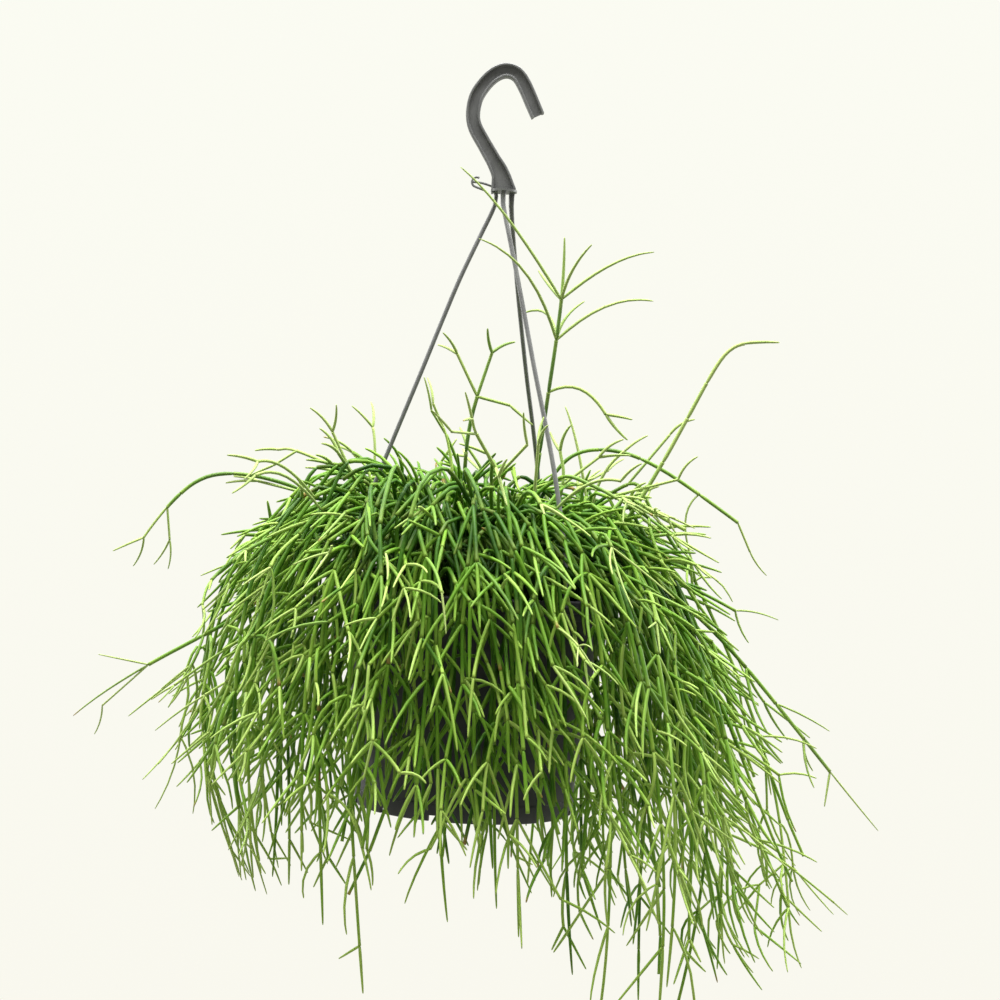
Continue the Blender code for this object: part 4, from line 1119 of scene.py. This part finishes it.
# How low the crown hangs, at the same eight angles as the solids' reach.
FRINGE = [-0.466, -0.440, -0.385, -0.370, -0.372, -0.376, -0.390, -0.424]
CROWN_DEPTH = 0.92
CROWN_DEEPEST = 0.132
FINE_RADIUS = 0.0008
ROOT_CROWN = 0.016
OVER_RIM = 0.060
CENTRAL_ROOTS = 0.034
# More long stems: from every cutting over the rim all round, flared outwards and within the dome, and then down
# the front and at the lower right, with a share of those at the left left out.
FAN_STEMS = 7
FLARED_STEMS = 3
DOME_STEMS = 5
FRONT_STEMS = 150
RIGHT_STEMS = 10
SKIPPED_AT_LEFT = 0.30
OLD_RADIUS = 0.00120
YOUNG_RADIUS = 0.00078
YOUNG_CANE = 10
NODES_APART = (0.044, 0.026)
SHARED_START = 0.3
YOUNG_ROOM = FINE_RADIUS - 0.0006
FIRST_ROOM = FINE_RADIUS - 0.0014
STANDS_OUT = 1.25
# The depths of the crown as (height, drop): below the first, painted shade darkens the stems deep inside the crown;
# below the second, its low fringe begins, coloured lighter as painted light from all round.
SHADED_BELOW = (-0.222, 0.05)
FRINGE_BELOW = (-0.355, 0.05)
# The hanging stems get barer downwards, past a height over a drop, and the crown sparser towards its sides. Each
# pair of shares and distances is for the left side and the right.
BARER_BELOW = (-0.325, 0.080)
BARER = (0.88, 0.62)
SPARSE_FROM = (0.080, 0.108)
SPARSE_OVER = 0.045
# The three generations of whorls, each as (least stems, most stems, length, chance at a node).
WHORLS = ((1, 3, 0.032, 0.92), (1, 3, 0.024, 0.60), (2, 3, 0.018, 0.32))


def by_height(pairs, z):
    if z >= pairs[0][0]:
        return pairs[0][1]
    for (high, a), (low, b) in zip(pairs, pairs[1:]):
        if z >= low:
            return a + (b - a) * (high - z) / (high - low)
    return pairs[-1][1]


def crown_reach(angle, z):
    """How far out the crown stands from its middle at an angle and a height."""
    left, right = by_height(CROWN_LEFT, z), by_height(CROWN_RIGHT, z)
    deep = min(CROWN_DEEPEST, CROWN_DEPTH * (left + right) / 2)
    x, y = math.cos(angle), math.sin(angle)
    return 1 / math.hypot(x / (right if x > 0 else left), y / deep)


def crown_share(place):
    """How far out a place is, as a share of the crown's reach at its height and angle."""
    x, y = place.x - CENTRE.x, place.y - CENTRE.y
    return math.hypot(x, y) / crown_reach(math.atan2(y, x), place.z)


def in_crown(place, beyond):
    """Whether a place is in the crown, or beyond its outline by a share of its reach at most."""
    fringe = by_angle(FRINGE, math.atan2(place.y - CENTRE.y, place.x - CENTRE.x))
    return crown_share(place) < 1.0 + beyond and place.z > fringe - 0.006 - 0.05 * beyond


def in_box(place):
    """Whether a place is inside the solids' box, by more than a stem's thickness."""
    return all(low + 0.0015 < at < high - 0.0015 for low, at, high in zip(solid_box[0], place, solid_box[1]))


class Joint:
    """A node that young stems can grow from."""

    def __init__(self, place, way, cutting, age, ends):
        self.place = place
        self.way = way
        self.cutting = cutting
        self.age = age
        self.ends = ends
        self.used = []
        self.shoot = None


class Shoot:
    """One jointed stretch of stem, with the places before and after it that its curve runs on through."""

    def __init__(self, line, cutting, age, ends, before=None, after=None):
        self.line = line
        self.cutting = cutting
        self.age = age
        self.ends = ends
        self.before = before
        self.after = after
        share = crown_share((line[0] + line[-1]) / 2)
        hidden = below(line[-1], *SHADED_BELOW)
        # Painted shade: the deeper a stem stands inside the crown below the dome, the darker its colour, on top of
        # its age.
        painted_inner_shade = max(0.0, 0.95 - share) * hidden
        outside = clamped((share - 1.0) / (STANDS_OUT - 1.0))
        fringe = below(line[-1], *FRINGE_BELOW)
        self.thin = (1.0 - outside * (0.14 + 0.32 * hidden) if ends else 1.0) * (1.0 - 0.15 * fringe)
        self.airy = outside > 0.99
        # The outer stems, the young cane's most, are coloured lighter: partly young growth, partly painted light
        # from the white surround shining through them.
        young_and_painted_light = 0.50 if self.airy and cutting == YOUNG_CANE else outside * (0.30 if ends else 0.08)
        # The low fringe is coloured lighter as well, as painted light from all round. The stem's shade is its age
        # with this painted shade and light.
        self.shade = clamped(age + 0.75 * painted_inner_shade - young_and_painted_light - 0.15 * fringe)
        # The outer stems' pale mix: partly pale young growth, partly a painted glow of the white surround.
        self.pale_growth_and_painted_glow = outside * min(1.0, 1.15 - self.shade) ** 2

    def path(self):
        line = self.line
        bent = line if len(line) > 2 else [line[0], line[0].lerp(line[1], 0.5), line[1]]
        before = (bent[0] - bent[1]) * 3 + bent[2] if self.before is None else self.before
        after = (bent[-1] - bent[-2]) * 3 + bent[-3] if self.after is None else self.after
        whole = smooth_path([before] + line + [after], route_length(line) / (18 if self.airy else 9))
        first = min(range(len(whole)), key=lambda k: (whole[k] - line[0]).length_squared)
        last = min(range(len(whole)), key=lambda k: (whole[k] - line[-1]).length_squared)
        return whole[first:last + 1]


def ease(first):
    """Takes the corners out of a run of stretches, and starts its side stems from where the nodes then are."""
    run = [first]
    while 0 in run[-1].forks:
        run.append(run[-1].forks[0])
    places = [first.line[0]] + [place for stem in run for place in stem.line[1:]]
    for _ in range(4 if len(run) > 2 else 0):
        rounded = [(a + b * 2 + c) / 4 for a, b, c in zip(places, places[1:], places[2:])]
        places = [places[0]] + rounded + [places[-1]]
    at = 0
    for stem in run:
        stem.line = places[at:at + len(stem.line)]
        stem.way = (stem.line[-1] - stem.line[-2]).normalized()
        at += len(stem.line) - 1
        for slot, fork in stem.forks.items():
            if slot:
                fork.line = [stem.line[-1]] + list(fork.line[1:])
                ease(fork)


def drawn_in(stem):
    """Brings a hanging stem's places that stand beyond the crown's outline back towards it."""
    for k, place in enumerate(stem.line):
        share = crown_share(place)
        if share > 1.0 and place.z < HANGING_FROM:
            middle = Vector((CENTRE.x, CENTRE.y, place.z))
            stem.line[k] = middle + (place - middle) * ((1.0 + (share - 1.0) * 0.35) / share)
    for fork in stem.forks.values():
        drawn_in(fork)


def from_solids(stem, cutting, age, shoots, joints):
    """Lists a cutting's stretches as the solid has them, with the nodes at their ends."""
    joint = Joint(stem.line[-1], stem.way, cutting, age, not stem.forks)
    if joint.ends:
        joint.shoot = shoots[-1]
    for slot, fork in sorted(stem.forks.items()):
        younger = max(0.05, age - (0.07 if slot == 0 else 0.24))
        joint.used.append((fork.line[1] - fork.line[0]).normalized())
        before = stem.line[-2] if slot == 0 else None
        after = fork.forks[0].line[1] if 0 in fork.forks else None
        shoots.append(Shoot(fork.line, cutting, younger, not fork.forks, before, after))
        from_solids(fork, cutting, younger, shoots, joints)
    joints.append(joint)


def own_spans(points):
    """A stretch's spans, past the start that it shares with its node."""
    return zip([points[0].lerp(points[1], SHARED_START)] + points[1:-1], points[1:])


def passes(thicket, points, radius):
    """Whether a stretch stays in the box, and passes clear of the pot and of what has grown."""
    if not in_box(points[-1]):
        return False
    return all(clear_of_pot(a, b) and thicket.clear(a, b, radius) for a, b in own_spans(points))


def file_line(thicket, points):
    for a, b in own_spans(points):
        thicket.add(a, b, FINE_RADIUS)


def planted(rng, index):
    """The foot of one more stem of a cutting, just under the soil beside its root."""
    x, y = root_spot(index)
    spread, turn = ROOT_CROWN * math.sqrt(rng.random()), rng.uniform(0, math.tau)
    x, y = x + spread * math.cos(turn), y + spread * math.sin(turn)
    inside = min(1.0, 0.0585 / max(0.001, math.hypot(x, y)))
    return Joint(hung(x * inside, y * inside, -RIM_DROP - SOIL_BELOW_RIM - 0.0020), -GRAVITY, index, 1.0, False)


def fan_route(rng, root, angle, low, layer, swirl):
    """A stem that rises from the soil, arches over the rim and goes on outwards and down to the crown's outside at
    a height, ever more steeply unless it is an outer one. It drifts sideways by its swirl."""
    top = -0.238 + 0.028 * layer - 0.026 * max(0.0, math.cos(angle)) + rng.uniform(-0.008, 0.006)
    low = min(low, top - 0.030)
    reach = partway(0.090, crown_reach(angle + swirl, low) * 0.97, layer)
    depth = top - low

    def at(turn, distance, z):
        way = angle + swirl * turn
        return CENTRE + Vector((math.cos(way) * distance, math.sin(way) * distance, z))

    over = at(0.0, OVER_RIM, top)
    start = root + (over - root) * 0.30 + upward(0.006)
    flare = 1.0 if layer > 1.0 else 0.6 * max(0.0, layer - 0.3)
    drops = (0.09 + 0.08 * flare, 0.34 + 0.16 * flare)
    points = [root, start, over, at(0.3, partway(OVER_RIM, reach, 0.35), top - depth * drops[0]),
              at(0.6, partway(OVER_RIM, reach, 0.67), top - depth * drops[1]), at(1.0, reach, low)]
    return smooth_path(points, ROUTE_STEP)


def grow_run(thicket, rng, joint, route, least, shoots, joints):
    """A long extra stem along a route, from node to node, for as long as it finds its way. One that stops
    before its least number of stretches is taken back."""
    marks = len(thicket.spans), len(shoots), len(joints)
    distances = even_joints(rng, route_length(route), *NODES_APART)
    place, age, shift = joint.place, rng.uniform(0.72, 0.98), Vector()
    last, before, grown = None, None, []
    for low, high in zip(distances, distances[1:]):
        for attempt in range(6):
            later = shift * 0.8 + strayed(rng, 0.0035 * (0.4 + 0.25 * attempt))
            middle = along(route, (low + high) / 2) + shift.lerp(later, 0.5)
            points = [place, middle, along(route, high) + later]
            if passes(thicket, points, YOUNG_ROOM if last else FIRST_ROOM):
                break
        else:
            break
        file_line(thicket, points)
        if last:
            last.used.append((points[1] - points[0]).normalized())
            grown[-1].after = middle
        shoots.append(Shoot(points, joint.cutting, age, False, before))
        grown.append(shoots[-1])
        before, place, shift = middle, points[-1], later
        age = max(0.40, age - 0.065)
        last = Joint(place, (points[2] - points[1]).normalized(), joint.cutting, age, False)
        joints.append(last)
    if len(grown) >= least:
        last.ends = True
        return True
    thicket.forget_after(marks[0])
    del shoots[marks[1]:]
    del joints[marks[2]:]
    return False


def grow_whorl(thicket, rng, joint, wanted, length, shoots, young):
    """Young stems from one node, spread round its way and drooping under their weight."""
    start_turn = rng.uniform(0, math.tau)
    grown = 0
    share = crown_share(joint.place)
    sag = 0.24 + 0.36 * below(joint.place, HANGING_FROM, 0.09)
    side_on = min(1.0, abs(joint.place.x - CENTRE.x) / 0.12)
    outward = away_from_middle(joint.place) * ((0.45 if share < 0.75 else 0.28) + 0.40 * side_on)
    for k in range(wanted * 2):
        if grown == wanted:
            return
        turn = start_turn + math.tau * k / wanted + rng.uniform(-0.5, 0.5)
        lean = rng.uniform(0.0, 0.35) if joint.ends and k == 0 else rng.uniform(0.40, 0.98)
        side = Matrix.Rotation(turn, 3, joint.way) @ joint.way.orthogonal().normalized()
        first = (joint.way * math.cos(lean) + side * math.sin(lean)).normalized()
        if any(first.dot(used) > 0.88 for used in joint.used):
            continue
        reach = length * rng.uniform(0.65, 1.35)
        second = (first + (GRAVITY * sag + outward) * rng.uniform(0.4, 1.2)).normalized()
        middle = joint.place + (first * 0.8 + second * 0.2).normalized() * reach * 0.5
        points = [joint.place, middle, middle + second * reach * 0.5]
        beyond = math.inf if share > STANDS_OUT else max(0.0, share - 1.0) + 0.26 * rng.random() ** 2
        if not in_crown(joint.place.lerp(points[2], 0.7), beyond) or not passes(thicket, points, YOUNG_ROOM):
            continue
        file_line(thicket, points)
        age = max(0.0, joint.age - rng.uniform(0.08, 0.26))
        joint.used.append(first)
        shoots.append(Shoot(points, joint.cutting, age, True))
        shoot = Joint(points[2], second, joint.cutting, age, True)
        shoot.shoot = shoots[-1]
        young.append(shoot)
        grown += 1


def grow_fullness(thicket, roots):
    """The rest of the crown: more long stems from every root, then whorls on every node, then their forks."""
    shoots, joints = [], []
    set_cuttings = {index for index, _, _ in SHOWN_STEMS.values()}
    for index, (root, _) in enumerate(roots):
        for slot, fork in root.forks.items():
            if slot or index not in set_cuttings:
                drawn_in(fork)
        ease(root)
        from_solids(root, index, 1.0, shoots, joints)
        shoots.append(Shoot(root.line, index, 1.0, False))
    rng = random.Random(SEED + 31)

    def fan(index, angle, layers, lows, swirl):
        if math.cos(angle) < -0.6 and rng.random() < SKIPPED_AT_LEFT:
            return
        for _ in range(8):
            base = planted(rng, index)
            turned_angle = angle + rng.uniform(-0.35, 0.35)
            low = partway(-0.256, by_angle(FRINGE, turned_angle), rng.random() ** lows)
            route = fan_route(rng, base.place, turned_angle, low, rng.uniform(*layers), rng.uniform(-swirl, swirl))
            if grow_run(thicket, rng, base, route, 3, shoots, joints):
                return

    for index, (root, out) in enumerate(roots):
        central = math.hypot(*root_spot(index)) < CENTRAL_ROOTS
        for k in range(FAN_STEMS):
            angle = out + (rng.uniform(-math.pi, math.pi) if central else rng.uniform(-0.9, 0.9))
            fan(index, angle, (0.20, 0.97), 1.5, 0.45)
        for k in range(FLARED_STEMS):
            angle = (rng.choice((0.0, math.pi)) if central else out) + rng.uniform(-0.6, 0.6)
            fan(index, angle, (1.05, 1.20) if math.cos(angle) < -0.5 else (0.99, 1.09), 1.2, 0.3)
        for k in range(DOME_STEMS):
            base = planted(rng, index)
            route = dome_route(base.place, rng.uniform(-math.pi, math.pi), rng.uniform(0.030, 0.085),
                               rng.uniform(-0.230, -0.212))
            grow_run(thicket, rng, base, route, 2, shoots, joints)
    front = [k for k in range(CUTTINGS) if root_spot(k)[1] < 0.015]
    for k in range(FRONT_STEMS):
        fan(front[k % len(front)], rng.uniform(-2.6, -0.55), (0.0, 0.9), 0.8, 1.3)
    right = [k for k in range(CUTTINGS) if root_spot(k)[0] > 0.010]
    for k in range(RIGHT_STEMS):
        fan(right[k % len(right)], rng.uniform(-0.50, 0.20), (0.84, 1.04), 0.35, 0.25)
    level = joints
    for least, most, length, chance in WHORLS:
        young = []
        for joint in level:
            count = len(young)
            if crown_share(joint.place) > STANDS_OUT:
                high = joint.place.z > -0.14
                if level is joints and joint.cutting != YOUNG_CANE and joint.ends != high and joint.place.z > -0.38:
                    grow_whorl(thicket, rng, joint, 2, 0.030 if high else 0.014, shoots, young)
                    if len(young) > count and joint.shoot:
                        joint.shoot.ends = False
                continue
            sideways = joint.place.x - CENTRE.x
            hanging = below(joint.place, *BARER_BELOW) * (BARER[1] if sideways > 0.05 else BARER[0])
            sparse = clamped((abs(sideways) - (SPARSE_FROM[1] if sideways > 0 else SPARSE_FROM[0])) / SPARSE_OVER)
            if sideways > 0 and joint.place.z < -0.385:
                sparse = 0.0
            beyond = 0.05 if rng.random() < 0.5 else 0.30
            if rng.random() > chance * (1 - hanging) * (1 - 0.5 * sparse) or not in_crown(joint.place, beyond):
                continue
            wanted = rng.randint(least, most) + (joint.ends and level is joints) - (len(joint.used) > 2)
            grow_whorl(thicket, rng, joint, max(1, wanted), length, shoots, young)
            if len(young) > count and joint.shoot:
                joint.shoot.ends = False
        level = young
    return shoots


STEM_SIDES = 6
STEM_GREENS = [(0.0, (0.280, 0.415, 0.078)), (0.22, (0.190, 0.345, 0.036)), (0.50, (0.106, 0.243, 0.016)),
               (0.78, (0.038, 0.120, 0.007)), (1.0, (0.016, 0.062, 0.004))]
# The rings along a stem as (share of its length, share of its radius), where it goes on and where it ends.
NODE_SHARES = ((0.0, 0.62), (0.05, 0.88), (0.15, 1.0), (0.36, 1.0), (0.58, 0.98), (0.80, 0.96), (0.95, 0.96),
               (1.0, 1.04))
TIP_SHARES = ((0.0, 0.66), (0.05, 0.92), (0.15, 1.06), (0.40, 1.0), (0.65, 0.86), (0.86, 0.70), (0.97, 0.52),
              (1.0, 0.24))


def halved(shares):
    """The same taper with one ring more between each two."""
    between = [(a, ((a[0] + b[0]) / 2, (a[1] + b[1]) / 2)) for a, b in zip(shares, shares[1:])]
    return [share for pair in between for share in pair] + [shares[-1]]


def shoot_rings(shoot, radius):
    """A stem's rings from its node on, each with its share of the length: narrow at the base, and blunt where
    the end is free."""
    path = shoot.path()
    length = route_length(path)
    first = None
    shares = TIP_SHARES if shoot.ends else NODE_SHARES
    for share, width in (halved(shares) if shoot.airy else shares):
        place = along(path, length * share)
        ahead = along(path, length * min(1.0, share + 0.06)) - along(path, length * max(0.0, share - 0.06))
        ahead.normalize()
        first = ahead.orthogonal() if first is None else first - ahead * first.dot(ahead)
        first.normalize()
        second = ahead.cross(first)
        turns = [math.tau * k / STEM_SIDES for k in range(STEM_SIDES)]
        yield share, [place + (first * math.cos(a) + second * math.sin(a)) * (radius * width) for a in turns]


def draw_shoots(bm, shoots, rng):
    """Jointed stems, drawn all at once: one ring for each is extruded from place to place along it."""
    tone = bm.verts.layers.float_color.get("growth") or bm.verts.layers.float_color.new("growth")
    plans, rings, tints = [], [], []
    for shoot in shoots:
        radius = partway(YOUNG_RADIUS, OLD_RADIUS, shoot.age) * shoot.thin
        plans.append(list(shoot_rings(shoot, radius)))
        rings.append([bm.verts.new(place) for place in plans[-1][0][1]])
        bm.faces.new(rings[-1])
        tints.append(rng.random())
        for vert in rings[-1]:
            vert[tone] = (shoot.shade, tints[-1], 0.0, shoot.pale_growth_and_painted_glow)
    for level in range(1, len(plans[0])):
        edges = [bm.edges.get((a, b)) for ring in rings for a, b in zip(ring, ring[1:] + ring[:1])]
        drawn = set(bmesh.ops.extrude_edge_only(bm, edges=edges)["geom"])
        for k, (shoot, plan) in enumerate(zip(shoots, plans)):
            share, places = plan[level]
            grown = [next(e.other_vert(v) for e in v.link_edges if e.other_vert(v) in drawn) for v in rings[k]]
            for vert, place in zip(grown, places):
                vert.co = place
                vert[tone] = (shoot.shade, tints[k], share, shoot.pale_growth_and_painted_glow)
            rings[k] = grown
    for ring in rings:
        bm.faces.new(ring)


def stem_skin():
    """Green stem skin: dark on old joints, light yellow-green on young ones, paler at each blunt tip, and a few tips
    gone brown. The growth attribute holds the stem's shade, its own tint, the share along it and its pale mix. The
    shade is the stem's age with painted shade deep in the crown and painted light on its outside and low fringe. The
    pale mix is partly pale young growth and partly a painted glow."""
    material, shader, add, join = node_material("rhipsalis_skin")
    place = add("TexCoord").outputs["Object"]
    growth = add("Attribute", attribute_name="growth", attribute_type="GEOMETRY")
    parts = add("SeparateColor", {"Color": growth.outputs["Color"]}).outputs
    cloudy = rescaled(add, clouds(add, place, 55.0, 1.0), (0.3, 0.7), (-0.11, 0.11))
    # The ramp is placed by the stem's shade, which is its age with painted shade and light, clouded and varied by
    # its tint.
    aged_and_painted_tone = add("Math", {0: parts["Red"], 1: cloudy}, operation="ADD").outputs[0]
    varied = rescaled(add, parts["Green"], (0.0, 1.0), (-0.20, 0.20))
    age = add("Math", {0: aged_and_painted_tone, 1: varied}, operation="ADD").outputs[0]
    colour = colour_steps(add, age, STEM_GREENS)
    speckled = rescaled(add, clouds(add, place, 420.0, 1.0), (0.55, 0.75), (0.0, 0.10))
    colour = blended(add, speckled, colour, (0.36, 0.50, 0.10))
    colour = blended(add, rescaled(add, parts["Blue"], (0.70, 1.0), (0.0, 0.28)), colour, (0.37, 0.46, 0.09))
    # Painted glow and pale young growth: outer stems mixed towards a pale green by their pale mix.
    colour = blended(add, rescaled(add, growth.outputs["Alpha"], (0.0, 1.0), (0.0, 0.5)), colour, (0.38, 0.43, 0.19))
    dry = rescaled(add, parts["Green"], (0.972, 0.977))
    far = rescaled(add, parts["Blue"], (0.86, 0.97), (0.0, 0.7))
    dried = add("Math", {0: dry, 1: far}, operation="MULTIPLY").outputs[0]
    join(blended(add, dried, colour, (0.30, 0.155, 0.055)), shader.inputs["Base Color"])
    shader.inputs["Roughness"].default_value = 0.48
    shader.inputs["Specular IOR Level"].default_value = 0.14
    return material


def dress_cuttings():
    thicket, roots = grow_plant()
    skin = stem_skin()
    rng = random.Random(SEED + 77)
    shoots = grow_fullness(thicket, roots)
    for index in range(CUTTINGS):
        bm = bmesh.new()
        for airy in (False, True):
            alike = [shoot for shoot in shoots if shoot.cutting == index and shoot.airy == airy]
            if alike:
                draw_shoots(bm, alike, rng)
        for face in bm.faces:
            face.smooth = True
        bmesh.ops.recalc_face_normals(bm, faces=bm.faces)
        cutting = as_object(f"rhipsalis_cutting_{index + 1:02d}", bm)
        cutting.data.materials.append(skin)
        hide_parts(f"cutting_{index + 1:02d}")
        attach(cutting, "root")


dress_cuttings()

# The studio: a seamless pale ground, a white surround, and three soft boxes.
SWEEP_RADIUS = 1.15
FLOOR_DEPTH = -1.05
SURROUND_LIGHT = (0.42, 0.76)
SOFT_BOXES = {"top_box": ((0.0, -0.05, 1.10), (1.4, 1.2), 86.0), "left_box": ((-1.4, 0.8, 0.2), (0.9, 1.2), 28.0),
              "right_box": ((1.4, 0.8, 0.2), (0.9, 1.2), 23.0)}
LIT_PLACE = Vector((0.0, 0.0, -0.3))


def pale_ground():
    """Near-white paper that fades out towards its edge."""
    material, shader, add, join = node_material("pale_ground")
    place = add("TexCoord").outputs["Object"]
    out = add("VectorMath", {0: place}, operation="LENGTH").outputs["Value"]
    fade = add("MapRange", {"Value": out, "From Min": 1.12, "From Max": 1.50, "To Min": 1.0, "To Max": 0.0},
               interpolation_type="SMOOTHSTEP")
    join(fade.outputs["Result"], shader.inputs["Alpha"])
    paper = colour_steps(add, clouds(add, place, 6.0, 2.0), [(0.0, (0.42, 0.415, 0.39)), (1.0, (0.45, 0.445, 0.42))])
    join(paper, shader.inputs["Base Color"])
    shader.inputs["Roughness"].default_value = 0.9
    return material


def white_surround():
    """The paper behind shows white. The room lights the plant more from there than from the camera's side."""
    world = bpy.data.worlds.new("white_surround")
    world.use_nodes = True
    add, join = node_adder(world.node_tree), world.node_tree.links.new
    background = world.node_tree.nodes["Background"]
    split = add("SeparateXYZ", {0: add("TexCoord").outputs["Generated"]})
    half = add("Math", {0: split.outputs["Z"], 1: 0.5, 2: 0.5}, operation="MULTIPLY_ADD").outputs[0]
    join(colour_steps(add, half, [(0.25, (0.942, 0.925, 0.845)), (0.75, (0.972, 0.982, 0.905))]),
         background.inputs["Color"])
    room = rescaled(add, split.outputs["Y"], (-1.0, 1.0), SURROUND_LIGHT)
    strength = add("MapRange", {"Value": add("LightPath").outputs["Is Camera Ray"], "To Min": room, "To Max": 1.0})
    join(strength.outputs["Result"], background.inputs["Strength"])
    return world


ground = bmesh.new()
bmesh.ops.create_circle(ground, cap_ends=True, segments=96, radius=SWEEP_RADIUS,
                        matrix=Matrix.Translation((0, 0, FLOOR_DEPTH)))
pale_floor = as_object("pale_floor", ground)
pale_floor.data.materials.append(pale_ground())
bpy.context.scene.world = white_surround()
for name, (place, size, energy) in SOFT_BOXES.items():
    light = bpy.data.lights.new(name, "AREA")
    light.shape = "RECTANGLE"
    light.size, light.size_y = size
    light.energy = energy
    lamp = bpy.data.objects.new(name, light)
    bpy.context.scene.collection.objects.link(lamp)
    lamp.location = place
    lamp.rotation_euler = (LIT_PLACE - Vector(place)).to_track_quat("-Z", "Y").to_euler()

# The camera stands level in front of the crown, at the photograph's distance and framing. The view is as wide as
# the photograph at the pot's axis.
CAMERA_DISTANCE = 1.0
VIEW_WIDTH = 0.526

lens = bpy.data.cameras.new("camera")
lens.sensor_width = 36.0
lens.lens = 36.0 * CAMERA_DISTANCE / VIEW_WIDTH
camera = bpy.data.objects.new("camera", lens)
bpy.context.scene.collection.objects.link(camera)
camera.location = (-0.0034, -CAMERA_DISTANCE, -0.2222)
camera.rotation_euler = (math.radians(90), 0.0, 0.0)
bpy.context.scene.camera = camera
bpy.context.scene.view_settings.view_transform = "Standard"
